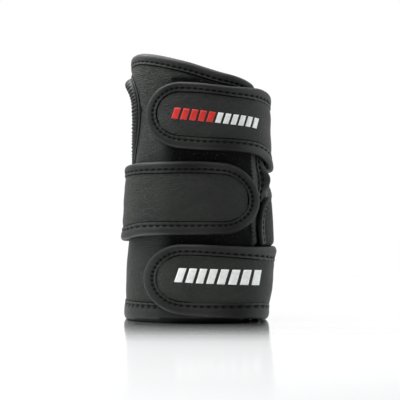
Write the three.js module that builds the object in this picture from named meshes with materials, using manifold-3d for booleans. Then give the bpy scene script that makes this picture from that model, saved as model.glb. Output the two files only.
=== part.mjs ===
// A padded bowling glove of the wrist-support kind, for the right hand: a wrap of leather-faced
// foam round the hand, wrist and forearm, with a thumb hole, taped edges and three straps that
// stick to a loop patch on the back of the hand. It stands on its forearm end.
//
// Millimetres, +Z up. The back of the hand faces -Y, the thumb side is -X, the little-finger
// side +X. The glove is laid out as a flat pattern and wrapped round a tube:
//   s  distance round the tube from the middle of the back of the hand, positive towards +X
//   z  height
//   d  distance out from the tube's surface, which is the middle of the wrap's wall
import * as THREE from 'three';
import { mergeVertices } from 'three/addons/utils/BufferGeometryUtils.js';
import Module from 'manifold-3d';

const wasm = await Module();
wasm.setup();

// Thicknesses.
const WRAP_THICKNESS = 3.0;
const STRAP_THICKNESS = 2.4;
const LOOP_THICKNESS = 1.0;
const TAPE_THICKNESS = 0.6;
const GAP = 0.35; // between pieces that touch on the real glove

// Binding tape, measured inwards from the piece's outline.
const TAPE_WIDTH = 7.4;
const BOTTOM_TAPE_SCALE = 1.35; // the tape round the forearm end is wider
const PALM_HEM_SCALE = 0.22; // the palm side's free end has only a narrow hem
const SLOT_GAP = 0.5; // between a panel and the tape's lips
const SLOT_DEPTH = 2.2; // where the slot between the tape's lips ends
const EDGE_INSET = SLOT_DEPTH + 0.6; // how far a panel's own edge stops short of the outline
const THUMB_SLOT_DEPTH = 5.0;

// The tube's cross-section is a superellipse with its own reach on each side of the axis. Its
// power is SQUARENESS, apart from the quarter between the back of the hand and the little
// finger's side, where it is corner: there the forearm end is squarer.
const AXIS = { x: -0.1, y: 1.65 }; // where the tube's axis stands, which centres the glove's box
const SQUARENESS = 2.3;
const SECTIONS = [
  { z: 0, thumb: 49, little: 39.9, back: 36.2, palm: 35, corner: 3.2 },
  { z: 10, thumb: 48.5, little: 41.4, back: 35.6, palm: 34.8, corner: 3.2 },
  { z: 25, thumb: 48, little: 43.9, back: 34.8, palm: 34.3, corner: 3 },
  { z: 44, thumb: 47, little: 45.4, back: 34, palm: 33.7, corner: 2.5 },
  { z: 49.3, thumb: 46.7, little: 47.1, back: 33.8, palm: 33.5, corner: 2.4 },
  { z: 51.8, thumb: 46.4, little: 49.1, back: 33.7, palm: 33.4, corner: 2.3 },
  { z: 60, thumb: 45.7, little: 49.2, back: 33.3, palm: 33, corner: 2.3 },
  { z: 76, thumb: 44.7, little: 48.3, back: 32.7, palm: 32.4, corner: 2.3 },
  { z: 92, thumb: 43.9, little: 46.8, back: 32.1, palm: 31.8, corner: 2.3 },
  { z: 106, thumb: 43.2, little: 44, back: 31.7, palm: 31.4, corner: 2.3 },
  { z: 125, thumb: 43, little: 43, back: 31.4, palm: 31, corner: 2.3 },
  { z: 150, thumb: 43.4, little: 42.5, back: 31, palm: 30.4, corner: 2.3 },
  { z: 168, thumb: 44.2, little: 42, back: 30.6, palm: 29.4, corner: 2.3 },
  { z: 182, thumb: 43.4, little: 41.2, back: 30, palm: 28.4, corner: 2.3 },
];
const PATTERN_HEIGHT = 95; // the height at which s is true length

// Outline of the wrap. The top edge runs from high at the thumb to low at the little finger.
const TOP_EDGE = [
  { s: -190, z: 150 },
  { s: -160, z: 150 },
  { s: -126, z: 150 },
  { s: -104, z: 154 },
  { s: -86, z: 163.5 },
  { s: -70, z: 174.3 },
  { s: -58, z: 179.2 },
  { s: -49, z: 180.8 },
  { s: -42, z: 181.2 },
  { s: -35, z: 180.6 },
  { s: -27, z: 179.3 },
  { s: -16, z: 176.9 },
  { s: -6, z: 174.5 },
  { s: 4, z: 171.5 },
  { s: 15, z: 168.3 },
  { s: 26, z: 165.8 },
  { s: 34, z: 163.4 },
  { s: 39, z: 161.4 },
  { s: 44, z: 159 },
  { s: 52, z: 154.5 },
];
const BACK_END = 51; // the free end of the back panel, near the little finger
// The free end on the palm side: it laps over the back panel's end on the forearm, turns away
// at the wrist and stays behind the little finger's side on the hand.
const PALM_END = [
  { z: 0, s: 32 },
  { z: 25, s: 35.2 },
  { z: 50, s: 40.2 },
  { z: 64, s: 39.9 },
  { z: 73, s: 41.3 },
  { z: 79, s: 44.2 },
  { z: 83, s: 49 },
  { z: 87, s: 55.5 },
  { z: 91, s: 62 },
  { z: 97, s: 67 },
  { z: 107, s: 69.5 },
  { z: 150, s: 69.5 },
];
const CORNER_RADIUS = 11;
// How far the back panel's free end stands out of the tube. The tuck moves all of the end: it dips
// in to pass under the palm side's end on the forearm. The flare turns only its roll outwards, at
// the wrist.
const BACK_END_OUT = [
  { z: 0, tuck: -3.55, flare: 0 },
  { z: 74, tuck: -3.55, flare: 0 },
  { z: 83, tuck: -3.55, flare: 0 },
  { z: 87, tuck: -2.25, flare: 1.3 },
  { z: 91, tuck: -1.2, flare: 3.6 },
  { z: 97, tuck: -0.6, flare: 5.1 },
  { z: 102, tuck: -0.6, flare: 3.4 },
  { z: 108, tuck: -0.6, flare: 1.2 },
  { z: 116, tuck: -0.6, flare: 0 },
  { z: 182, tuck: -0.6, flare: 0 },
];
// How far round the tube the tuck's slope reaches: under the forearm strap, and above it.
const TUCK_WIDTH = { under: 10.5, above: 5.4 };
const FLARE_WIDTH = 7.5; // how far in from the end the flare starts
// Where it laps over, the palm side's end stands this far out above the forearm strap. Under
// that strap it lies flat, and the back panel's end is tucked in deeper by as much.
const FLAP_OUT = 2.2;
const FLAP_RISE = { from: 49.3, to: 56 };

// Thumb hole: an egg with its point down, centred on the thumb side. Its tape is gathered and
// its roll stands out from the wrap, most of all at the top.
const THUMB = { s: -62, z: 139, halfWidth: 11.5, up: 21.3, down: 37, pinch: 0.75 };
const THUMB_ROLL = [
  { z: 96, out: 0 },
  { z: 107, out: 0 },
  { z: 117, out: 0.25 },
  { z: 128, out: 0.55 },
  { z: 140, out: 0.8 },
  { z: 148, out: 0.75 },
  { z: 154, out: 0.9 },
  { z: 162, out: 1.6 },
];
const GATHERS = 22;
const GATHER_DEPTH = 0.4;

const LOOP_PATCH = { left: -17.5, right: 36.5, bottom: 14, top: 164.8 };
const LOOP_TO_PALM_END = 6; // how far the patch stays from the palm side's end

// Each strap: its edges by distance round the tube, its round tip, and how far out its middle
// lies, which follows what it crosses.
const OVER_TAPE = WRAP_THICKNESS / 2 + SLOT_GAP + TAPE_THICKNESS + GAP;
const STRAP_HALF = STRAP_THICKNESS / 2 + SLOT_GAP + TAPE_THICKNESS;
const LIFT_FLAT = OVER_TAPE + STRAP_HALF;
const LIFT_LOOP = WRAP_THICKNESS / 2 + SLOT_GAP + LOOP_THICKNESS + GAP + STRAP_HALF;
const LAP_LIFT = 0.7; // how much further out the forearm strap lies over the lapped ends
// The wrap's side steps out just above the forearm strap. The strap's upper edge doesn't: above
// this height it keeps the tube's section.
const STEP_HEIGHT = 46.3;
const STRAPS = [
  {
    name: 'hand_strap',
    tip: -33.8,
    root: 112,
    tipLength: 22,
    edges: [
      { s: -33.8, lower: 118.5, upper: 161.5 },
      { s: -12, lower: 116.8, upper: 161.2 },
      { s: 0, lower: 115.8, upper: 160.6 },
      { s: 20, lower: 115.0, upper: 158.4 },
      { s: 34, lower: 113.5, upper: 157.7 },
      { s: 44, lower: 110.5, upper: 157.0 },
      { s: 62, lower: 102.2, upper: 153.0 },
      { s: 80, lower: 99.8, upper: 149 },
      { s: 112, lower: 99.2, upper: 147 },
    ],
  },
  {
    name: 'wrist_strap',
    tip: 38.5,
    root: -114,
    tipLength: 23.5,
    edges: [
      { s: -114, lower: 52.5, upper: 98 },
      { s: -80, lower: 52.4, upper: 100.5 },
      { s: -62, lower: 53.6, upper: 104 },
      { s: -46, lower: 55.9, upper: 106.4 },
      { s: -33, lower: 58.3, upper: 107.6 },
      { s: 0, lower: 59.1, upper: 108.2 },
      { s: 20, lower: 59.4, upper: 106.8 },
      { s: 38.5, lower: 59.8, upper: 105.6 },
    ],
  },
  {
    name: 'forearm_strap',
    overFlap: true,
    tip: -32.5,
    root: 112,
    tipLength: 23,
    edges: [
      { s: -32.5, lower: 8, upper: 53 },
      { s: -14, lower: 6.4, upper: 53 },
      { s: 0, lower: 4.8, upper: 52.8 },
      { s: 30, lower: 2.9, upper: 51 },
      { s: 40, lower: 1.2, upper: 50.7 },
      { s: 50, lower: 0.7, upper: 50.4 },
      { s: 62, lower: 0.7, upper: 50.1 },
      { s: 80, lower: 0.9, upper: 49.6 },
      { s: 112, lower: 1.2, upper: 49.2 },
    ],
  },
];

// Mesh steps: rows of the wrap by height, closer together at the corners, above the forearm strap
// and at the wrist's notch, and its columns: at the palm side's end, round the tube up to a place
// on the back of the hand, from there to where the back panel's end bends, and in that bend.
const WRAP_ROWS = [
  0, 1.5, 5.5, 11, 25, 44, 49.3, 56, 66, 74, 79, 83, 87, 91, 97, 107, 139, 144.5, 148.5, 150,
];
const WRAP_STEPS = { palmEnd: 7, round: 22, steadyEnd: 18, beforeBend: 2, bend: 6 };
const STRAP_STEPS = { along: 7.8, tip: 7, rows: 2 };

const MATERIALS = {
  leather: { color: 0x1b1c1d, roughness: 0.55, metalness: 0 },
  tape: { color: 0x202122, roughness: 0.6, metalness: 0 },
  loop: { color: 0x0a0a0b, roughness: 1, metalness: 0 },
};

// Smooth value of a table's column, by a cubic through its rows.
function lookUp(table, key, column, at) {
  const last = table.length - 1;
  const x = THREE.MathUtils.clamp(at, table[0][key], table[last][key]);
  let i = 0;
  while (i < last - 1 && x > table[i + 1][key]) i += 1;
  const slope = (k) => {
    const a = table[Math.max(k - 1, 0)];
    const b = table[Math.min(k + 1, last)];
    return (b[column] - a[column]) / (b[key] - a[key]);
  };
  const [p, q] = [table[i], table[i + 1]];
  const width = q[key] - p[key];
  const t = (x - p[key]) / width;
  const [t2, t3] = [t * t, t * t * t];
  return p[column] * (2 * t3 - 3 * t2 + 1) + slope(i) * width * (t3 - 2 * t2 + t)
    + q[column] * (3 * t2 - 2 * t3) + slope(i + 1) * width * (t3 - t2);
}

// Point of the tube's cross-section at one angle round the axis, 0 at the back of the hand.
function sectionPoint(angle, z) {
  const [sin, cos] = [Math.sin(angle), Math.cos(angle)];
  const reachX = lookUp(SECTIONS, 'z', sin > 0 ? 'little' : 'thumb', z);
  const reachY = lookUp(SECTIONS, 'z', cos > 0 ? 'back' : 'palm', z);
  const power = sin > 0 && cos > 0 ? lookUp(SECTIONS, 'z', 'corner', z) : SQUARENESS;
  const sum = Math.abs(sin / reachX) ** power + Math.abs(cos / reachY) ** power;
  const radius = sum ** (-1 / power);
  return new THREE.Vector2(radius * sin, -radius * cos);
}

// Lengths round the pattern height, to turn s into an angle.
const ANGLE_STEPS = 720;
const lengths = [0];
for (let i = 1; i <= ANGLE_STEPS; i += 1) {
  const turn = (2 * Math.PI) / ANGLE_STEPS;
  const here = sectionPoint(i * turn, PATTERN_HEIGHT);
  const before = sectionPoint((i - 1) * turn, PATTERN_HEIGHT);
  lengths.push(lengths[i - 1] + here.distanceTo(before));
}
const GIRTH = lengths[ANGLE_STEPS];

function angleAt(s) {
  const turns = Math.floor(s / GIRTH);
  const rest = s - turns * GIRTH;
  let [low, high] = [0, ANGLE_STEPS];
  while (high - low > 1) {
    const middle = (low + high) >> 1;
    if (lengths[middle] > rest) high = middle;
    else low = middle;
  }
  const part = (rest - lengths[low]) / (lengths[high] - lengths[low]);
  return 2 * Math.PI * (turns + (low + part) / ANGLE_STEPS);
}

// Wraps a point of the flat pattern round the tube.
function onTube(s, z, d) {
  const angle = angleAt(s);
  const small = 0.01;
  const point = sectionPoint(angle, z);
  const along = sectionPoint(angle + small, z).sub(sectionPoint(angle - small, z)).normalize();
  return new THREE.Vector3(AXIS.x + point.x + along.y * d, AXIS.y + point.y - along.x * d, z);
}

const smooth = (x, from, to) => THREE.MathUtils.smoothstep(x, from, to);

const topEdge = (s) => lookUp(TOP_EDGE, 's', 'z', s);
const palmEnd = (z) => lookUp(PALM_END, 'z', 's', z);

// How far the palm side's end has risen above the forearm strap, from 0 to 1.
const flapRise = (z) => smooth(z, FLAP_RISE.from, FLAP_RISE.to);

// Where the back panel's tuck is complete, under the palm side's end, and where it starts.
const tuckEnd = (z) => Math.min(palmEnd(z) + 1, 43.5);

function tuckStart(z) {
  return tuckEnd(z) - THREE.MathUtils.lerp(TUCK_WIDTH.under, TUCK_WIDTH.above, flapRise(z));
}

// The wrap follows the tube, apart from its two free ends. The palm side's end lies a whole
// turn below its place in s.
function onWrap(s, z, d) {
  return onTube(s, z, d + backEndOut(s, z) + flapOut(s + GIRTH, z));
}

// How far the back panel's free end stands out: its tuck and its flare.
function backEndOut(s, z) {
  const deeper = FLAP_OUT * (1 - flapRise(z));
  const tuck = lookUp(BACK_END_OUT, 'z', 'tuck', z) - deeper;
  const flare = lookUp(BACK_END_OUT, 'z', 'flare', z);
  return tuck * smooth(s, tuckStart(z), tuckEnd(z))
    + flare * smooth(s, BACK_END - FLARE_WIDTH, BACK_END);
}

// How far the palm side's end stands out where it laps over the back panel's end.
function flapOut(s, z) {
  const fade = Math.max(palmEnd(z) + 3, BACK_END - 1);
  return FLAP_OUT * flapRise(z) * (1 - smooth(z, 80, 92)) * (1 - smooth(s, fade, fade + 13));
}

// Evenly spaced shares from 0 to 1.
const shares = (count) => Array.from({ length: count + 1 }, (_, i) => i / count);

// A closed solid from its skin of points: triangles index into the list of points.
function solidGeometry(points, triangles) {
  const geometry = new THREE.BufferGeometry().setFromPoints(points);
  geometry.setIndex(triangles);
  return geometry;
}

// A panel: a grid of pattern points with a thickness. cell(i, j) gives {s, z} at a column and
// row, and place puts a pattern point on the glove.
function panelGeometry(columns, rows, cell, place, thickness) {
  const points = [];
  const triangles = [];
  const side = (columns + 1) * (rows + 1);
  for (const d of [thickness / 2, -thickness / 2]) {
    for (let i = 0; i <= columns; i += 1) {
      for (let j = 0; j <= rows; j += 1) {
        const { s, z } = cell(i, j);
        points.push(place(s, z, d));
      }
    }
  }
  // Split along the shorter diagonal, which keeps closest to the curved surface.
  const quad = (a, b, c, e) => {
    const first = points[a].distanceTo(points[c]) <= points[b].distanceTo(points[e]);
    triangles.push(...(first ? [a, b, c, a, c, e] : [a, b, e, b, c, e]));
  };
  const at = (i, j, layer) => layer * side + i * (rows + 1) + j;
  for (let i = 0; i < columns; i += 1) {
    for (let j = 0; j < rows; j += 1) {
      quad(at(i, j, 0), at(i + 1, j, 0), at(i + 1, j + 1, 0), at(i, j + 1, 0));
      quad(at(i, j, 1), at(i, j + 1, 1), at(i + 1, j + 1, 1), at(i + 1, j, 1));
    }
  }
  for (let i = 0; i < columns; i += 1) {
    quad(at(i, 0, 0), at(i, 0, 1), at(i + 1, 0, 1), at(i + 1, 0, 0));
    quad(at(i, rows, 0), at(i + 1, rows, 0), at(i + 1, rows, 1), at(i, rows, 1));
  }
  for (let j = 0; j < rows; j += 1) {
    quad(at(0, j, 0), at(0, j + 1, 0), at(0, j + 1, 1), at(0, j, 1));
    quad(at(columns, j, 0), at(columns, j, 1), at(columns, j + 1, 1), at(columns, j + 1, 0));
  }
  return solidGeometry(points, triangles);
}

// The tape's section: a fat rounded edge and two lips with the panel's edge in the slot between
// them. k is measured inwards from the outline, d outwards from the panel's middle.
function tapeSection(thickness) {
  const slot = thickness / 2 + SLOT_GAP;
  const half = slot + TAPE_THICKNESS;
  const outside = [
    { k: TAPE_WIDTH, d: half - 0.05 },
    { k: 3.4, d: half },
    { k: 1.0, d: half * 0.78 },
    { k: 0, d: half * 0.42 },
  ];
  const mirrored = outside.map((point) => ({ ...point, d: -point.d })).reverse();
  const inside = [
    { k: TAPE_WIDTH, d: -slot },
    { k: SLOT_DEPTH, d: -slot },
    { k: SLOT_DEPTH, d: slot },
    { k: TAPE_WIDTH, d: slot },
  ];
  return [...outside, ...mirrored, ...inside];
}

// Sweeps the tape's section along an outline. The outline's points are {s, z, inS, inZ, wide,
// swell, out}: a place, the way into the panel, a scale for the tape's width, how much fatter a
// gather is there and how far the roll stands out.
function tapeGeometry(outline, closed, section, place) {
  const points = [];
  const triangles = [];
  const size = section.length;
  for (const { s, z, inS, inZ, wide = 1, swell = 0, out: rollOut = 0 } of outline) {
    for (const { k, d, out = 0, gathered = false } of section) {
      const reach = k > SLOT_DEPTH ? SLOT_DEPTH + (k - SLOT_DEPTH) * wide : k;
      const roll = out * rollOut + (gathered ? swell : 0);
      points.push(place(s + inS * reach, z + inZ * reach, d + roll));
    }
  }
  const steps = closed ? outline.length : outline.length - 1;
  for (let i = 0; i < steps; i += 1) {
    const next = (i + 1) % outline.length;
    for (let j = 0; j < size; j += 1) {
      const k = (j + 1) % size;
      const [a, b, c, e] = [i * size + j, next * size + j, next * size + k, i * size + k];
      triangles.push(a, c, b, a, e, c);
    }
  }
  if (!closed) {
    const flat = section.map(({ k, d }) => new THREE.Vector2(k, d));
    const last = (outline.length - 1) * size;
    for (const [a, b, c] of THREE.ShapeUtils.triangulateShape(flat, [])) {
      triangles.push(a, c, b, last + a, last + b, last + c);
    }
  }
  return solidGeometry(points, triangles);
}

// Adds to a run of pattern points the way into the panel, which lies on the run's left.
function withInward(run, closed) {
  return run.map((point, i) => {
    const count = run.length;
    const before = closed ? run[(i + count - 1) % count] : run[Math.max(i - 1, 0)];
    const after = closed ? run[(i + 1) % count] : run[Math.min(i + 1, count - 1)];
    const [ds, dz] = [after.s - before.s, after.z - before.z];
    const length = Math.hypot(ds, dz);
    return { ...point, inS: -dz / length, inZ: ds / length };
  });
}

// The same solid with its faces pointing out, whichever way they were listed.
function facingOut(geometry) {
  const position = geometry.getAttribute('position');
  const index = geometry.getIndex().array;
  let volume = 0;
  const [a, b, c] = [new THREE.Vector3(), new THREE.Vector3(), new THREE.Vector3()];
  for (let i = 0; i < index.length; i += 3) {
    a.fromBufferAttribute(position, index[i]);
    b.fromBufferAttribute(position, index[i + 1]);
    c.fromBufferAttribute(position, index[i + 2]);
    volume += a.dot(b.cross(c));
  }
  if (volume < 0) {
    for (let i = 0; i < index.length; i += 3) [index[i], index[i + 1]] = [index[i + 1], index[i]];
  }
  return geometry;
}

function toManifold(geometry) {
  const merged = mergeVertices(facingOut(geometry), 1e-4);
  return new wasm.Manifold(new wasm.Mesh({
    numProp: 3,
    vertProperties: new Float32Array(merged.getAttribute('position').array),
    triVerts: new Uint32Array(merged.getIndex().array),
  }));
}

function fromManifold(solid) {
  const { vertProperties, triVerts } = solid.getMesh();
  const geometry = new THREE.BufferGeometry();
  geometry.setAttribute('position', new THREE.BufferAttribute(vertProperties, 3));
  geometry.setIndex(new THREE.BufferAttribute(triVerts, 1));
  return geometry;
}

const NOMINAL_TOP = WRAP_ROWS[WRAP_ROWS.length - 1];

// How much longer a step across a slanting edge is than one square to it.
function slant(table, key, column, at) {
  const rise = lookUp(table, key, column, at + 1) - lookUp(table, key, column, at - 1);
  return Math.hypot(1, rise / 2);
}

// One row of the wrap: its reach round the tube with the corners rounded, and how far it lies
// from the bottom edge as a share of the height there. inset moves every edge inwards.
function wrapRow(nominal, inset) {
  const fromEdge = Math.min(nominal, NOMINAL_TOP - nominal);
  const angle = Math.acos(1 - Math.min(fromEdge / CORNER_RADIUS, 1));
  const corner = CORNER_RADIUS - inset;
  const cut = corner * (1 - Math.sin(angle));
  const drop = fromEdge < CORNER_RADIUS ? inset + corner * (1 - Math.cos(angle)) : fromEdge;
  const height = nominal < NOMINAL_TOP / 2 ? drop : NOMINAL_TOP - drop;
  const palmInset = inset * slant(PALM_END, 'z', 's', nominal);
  const from = palmEnd(nominal) - GIRTH + palmInset + cut;
  return { from, bend: tuckStart(nominal), to: BACK_END - inset - cut, height };
}

// A row's height at s, where the rows near the top follow the slanting top edge.
function wrapHeight(height, s, inset) {
  const topInset = inset * slant(TOP_EDGE, 's', 'z', s);
  const share = (height - inset) / (NOMINAL_TOP - 2 * inset);
  return inset + share * (topEdge(s) - inset - topInset);
}

// Stations along a row: the middle ones are the same for every row, the end ones follow its ends.
const between = (a, b, count) => shares(count).map((share) => THREE.MathUtils.lerp(a, b, share));
const steadyStart = PALM_END[PALM_END.length - 1].s + CORNER_RADIUS + EDGE_INSET - GIRTH;
const steadyStations = between(steadyStart, WRAP_STEPS.steadyEnd, WRAP_STEPS.round);

function wrapStations({ from, bend, to }) {
  return [
    ...between(from, steadyStart, WRAP_STEPS.palmEnd).slice(0, -1),
    ...steadyStations.slice(0, -1),
    ...between(WRAP_STEPS.steadyEnd, bend, WRAP_STEPS.beforeBend).slice(0, -1),
    ...between(bend, to, WRAP_STEPS.bend),
  ];
}

// The rim of the thumb hole, clockwise on the pattern, so that the panel is on its left.
function thumbRim(count) {
  const run = shares(count).slice(0, -1).map((share) => {
    const turn = share * 2 * Math.PI;
    const [sin, cos] = [Math.sin(turn), Math.cos(turn)];
    const reach = cos > 0 ? THUMB.up : THUMB.down;
    const pinch = cos > 0 ? 1 : 1 - THUMB.pinch * Math.abs(cos) ** 1.5;
    return { s: THUMB.s + sin * THUMB.halfWidth * pinch, z: THUMB.z + cos * reach };
  });
  return withInward(run, true);
}

// A plug through the wall, the shape of the hole in the panel itself.
function thumbPlug() {
  const inset = THUMB_SLOT_DEPTH + EDGE_INSET - SLOT_DEPTH;
  const rim = thumbRim(2 * GATHERS)
    .map(({ s, z, inS, inZ }) => ({ s: s + inS * inset, z: z + inZ * inset }));
  const reach = 8;
  const points = [onTube(THUMB.s, THUMB.z, reach), onTube(THUMB.s, THUMB.z, -reach)];
  for (const d of [reach, -reach]) points.push(...rim.map(({ s, z }) => onTube(s, z, d)));
  const triangles = [];
  const count = rim.length;
  for (let i = 0; i < count; i += 1) {
    const [a, b] = [2 + i, 2 + ((i + 1) % count)];
    const [c, e] = [a + count, b + count];
    triangles.push(0, a, b, 1, e, c, a, c, b, b, c, e);
  }
  return solidGeometry(points, triangles);
}

function wrapBody() {
  const rows = WRAP_ROWS.map((nominal) => wrapRow(nominal, EDGE_INSET));
  const stations = rows.map(wrapStations);
  const cell = (i, j) => {
    const s = stations[j][i];
    return { s, z: wrapHeight(rows[j].height, s, EDGE_INSET) };
  };
  const [across, up] = [stations[0].length - 1, rows.length - 1];
  const panel = panelGeometry(across, up, cell, onWrap, WRAP_THICKNESS);
  return fromManifold(toManifold(panel).subtract(toManifold(thumbPlug())));
}

// The wrap's outline, anticlockwise on the pattern: bottom, back end, top, palm end.
function wrapOutline() {
  const rows = WRAP_ROWS.map((nominal) => wrapRow(nominal, 0));
  const wideAt = (height, scale) => {
    const lower = THREE.MathUtils.lerp(BOTTOM_TAPE_SCALE, scale, smooth(height, 0, CORNER_RADIUS));
    return THREE.MathUtils.lerp(lower, 1, smooth(height, NOMINAL_TOP - CORNER_RADIUS, NOMINAL_TOP));
  };
  const bottom = wrapStations(rows[0]).map((s) => ({ s, z: 0, wide: BOTTOM_TAPE_SCALE }));
  const top = wrapStations(rows[rows.length - 1]).map((s) => ({ s, z: topEdge(s) }));
  const ends = rows.slice(1, -1);
  const up = ends.map(({ to, height }) => (
    { s: to, z: wrapHeight(height, to, 0), wide: wideAt(height, 1) }
  ));
  const down = ends.map(({ from, height }) => (
    { s: from, z: wrapHeight(height, from, 0), wide: wideAt(height, PALM_HEM_SCALE) }
  ));
  return withInward([...bottom, ...up, ...top.reverse(), ...down.reverse()], true);
}

// The gathered tape's section: the same lips, and a fat roll that can stand out. out is how far
// a point moves where the roll stands out by one.
function thumbSection() {
  const slot = WRAP_THICKNESS / 2 + SLOT_GAP;
  const half = slot + TAPE_THICKNESS;
  return [
    { k: TAPE_WIDTH, d: half - 0.05, out: 0 },
    { k: 5.2, d: half, out: 0.4, gathered: true },
    { k: 2.6, d: half, out: 2.1, gathered: true },
    { k: 0.6, d: half * 0.85, out: 2.5, gathered: true },
    { k: 0, d: half * 0.4, out: 1.9 },
    { k: 0, d: -half * 0.4, out: 1.7 },
    { k: 1.4, d: -half * 0.88, out: 1.3 },
    { k: TAPE_WIDTH, d: -half, out: 0 },
    { k: TAPE_WIDTH, d: -slot, out: 0 },
    { k: THUMB_SLOT_DEPTH, d: -slot, out: 0 },
    { k: THUMB_SLOT_DEPTH, d: slot, out: 0 },
    { k: TAPE_WIDTH, d: slot, out: 0 },
  ];
}

function thumbOutline() {
  return thumbRim(2 * GATHERS).map((point, i) => ({
    ...point,
    out: lookUp(THUMB_ROLL, 'z', 'out', point.z),
    swell: (i % 2 ? -0.5 : 0.5) * GATHER_DEPTH * smooth(point.z, 108, 118),
  }));
}

// The loop patch stops short of the palm side's end.
function loopPatch() {
  const inside = steadyStations.filter((s) => s > LOOP_PATCH.left + 3);
  const [rows, nearEnd] = [11, 5];
  const out = WRAP_THICKNESS / 2 + SLOT_GAP + LOOP_THICKNESS / 2;
  const cell = (i, j) => {
    const share = j / rows;
    const right = Math.min(LOOP_PATCH.right, palmEnd(share * LOOP_PATCH.top) - LOOP_TO_PALM_END);
    const nearStations = between(WRAP_STEPS.steadyEnd, right, nearEnd).slice(1);
    const stations = [LOOP_PATCH.left, ...inside, ...nearStations];
    const s = stations[i];
    const belowTape = (TAPE_WIDTH + 0.6) * slant(TOP_EDGE, 's', 'z', s);
    const top = Math.min(topEdge(s) - belowTape, LOOP_PATCH.top);
    return { s, z: THREE.MathUtils.lerp(LOOP_PATCH.bottom, top, share) };
  };
  const place = (s, z, d) => onWrap(s, z, d + out);
  return panelGeometry(inside.length + nearEnd, rows, cell, place, LOOP_THICKNESS);
}

// How much further out the forearm strap lies where it crosses the lapped ends.
function lapLift(s, z) {
  const edge = palmEnd(z);
  const wide = smooth(s, edge - 20, edge - 5) - smooth(s, edge + 12, edge + 28);
  return LAP_LIFT * wide + flapOut(s, z) * smooth(s, edge - 9, edge - 1);
}

// A strap's middle lies further out where it crosses the loop patch or the lapped ends.
function onStrap(strap) {
  return (s, z, d) => {
    const overLoop = smooth(s, -30, -20) - smooth(s, 38, 48);
    const lift = THREE.MathUtils.lerp(LIFT_FLAT, LIFT_LOOP, overLoop);
    if (!strap.overFlap) return onTube(s, z, d + lift);
    const level = Math.min(z, STEP_HEIGHT);
    return onTube(s, level, d + lift + lapLift(s, level)).setZ(z);
  };
}

// A strap's edges at one place along it. inset moves them and the tip inwards.
function strapEdges(strap, s, inset) {
  const towardsTip = Math.sign(strap.tip - strap.root);
  const lower = lookUp(strap.edges, 's', 'lower', s) + inset;
  const upper = lookUp(strap.edges, 's', 'upper', s) - inset;
  const left = (strap.tip - s) * towardsTip - inset;
  const length = strap.tipLength - inset;
  const round = left < length ? Math.sqrt(Math.max(1 - (1 - left / length) ** 2, 0)) : 1;
  const middle = (lower + upper) / 2;
  const half = ((upper - lower) / 2) * round;
  return { lower: middle - half, upper: middle + half };
}

// Places along a strap from its root to its tip, closer together round the tip.
function strapStations(strap, inset) {
  const towardsTip = Math.sign(strap.tip - strap.root);
  const tip = strap.tip - towardsTip * inset;
  const bendStart = strap.tip - towardsTip * strap.tipLength;
  const straight = Math.round(Math.abs(bendStart - strap.root) / STRAP_STEPS.along);
  const run = shares(straight).map((share) => THREE.MathUtils.lerp(strap.root, bendStart, share));
  const bend = shares(STRAP_STEPS.tip).slice(1)
    .map((share) => THREE.MathUtils.lerp(bendStart, tip, Math.sin((share * Math.PI) / 2)));
  return [...run, ...bend];
}

function strapPanel(strap) {
  const stations = strapStations(strap, EDGE_INSET);
  const tipSliver = 0.02; // keeps the last column from closing to a point
  const { rows } = STRAP_STEPS;
  const cell = (i, j) => {
    const s = stations[i];
    const last = i === stations.length - 1;
    const { lower, upper } = strapEdges(strap, s, EDGE_INSET);
    const spread = last ? tipSliver : 0;
    return { s, z: THREE.MathUtils.lerp(lower - spread, upper + spread, j / rows) };
  };
  return panelGeometry(stations.length - 1, rows, cell, onStrap(strap), STRAP_THICKNESS);
}

function strapOutline(strap) {
  const stations = strapStations(strap, 0);
  const lower = stations.map((s) => ({ s, z: strapEdges(strap, s, 0).lower }));
  const upper = stations.map((s) => ({ s, z: strapEdges(strap, s, 0).upper })).reverse().slice(1);
  const run = [...lower, ...upper];
  return withInward(strap.tip > strap.root ? run : run.reverse(), false);
}

const glove = new THREE.Group();

function add(name, geometry, material) {
  const bare = facingOut(mergeVertices(geometry, 1e-4));
  const faces = bare.toNonIndexed();
  faces.computeVertexNormals();
  const mesh = new THREE.Mesh(faces, new THREE.MeshStandardMaterial(MATERIALS[material]));
  mesh.name = name;
  glove.add(mesh);
}

add('wrap_body', wrapBody(), 'leather');
add('wrap_binding', tapeGeometry(wrapOutline(), true, tapeSection(WRAP_THICKNESS), onWrap), 'tape');
add('thumb_binding', tapeGeometry(thumbOutline(), true, thumbSection(), onWrap), 'tape');
add('loop_patch', loopPatch(), 'loop');
for (const strap of STRAPS) {
  add(strap.name, strapPanel(strap), 'leather');
  const section = tapeSection(STRAP_THICKNESS);
  const tape = tapeGeometry(strapOutline(strap), false, section, onStrap(strap));
  add(`${strap.name}_binding`, tape, 'tape');
}

export default glove;
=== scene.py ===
import math

import bpy
import numpy as np
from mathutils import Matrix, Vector


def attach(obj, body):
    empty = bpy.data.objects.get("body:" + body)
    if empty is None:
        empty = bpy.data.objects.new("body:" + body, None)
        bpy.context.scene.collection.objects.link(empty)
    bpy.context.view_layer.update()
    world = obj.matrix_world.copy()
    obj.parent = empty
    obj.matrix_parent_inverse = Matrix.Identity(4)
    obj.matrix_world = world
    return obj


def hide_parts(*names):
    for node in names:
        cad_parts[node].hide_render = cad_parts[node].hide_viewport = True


# Looks of the padded bowling glove: detailed leather, tape, stitches and loop fabric that stand
# for the plain CAD solids, all in the same flat pattern wrapped round the same tube.
#
# Pattern lengths are millimetres: s is the distance round the tube from the middle of the back
# of the hand, positive towards +X, z is height, d is the distance out from the middle of the
# wrap's wall, and k is the distance into a piece from its outline.

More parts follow.
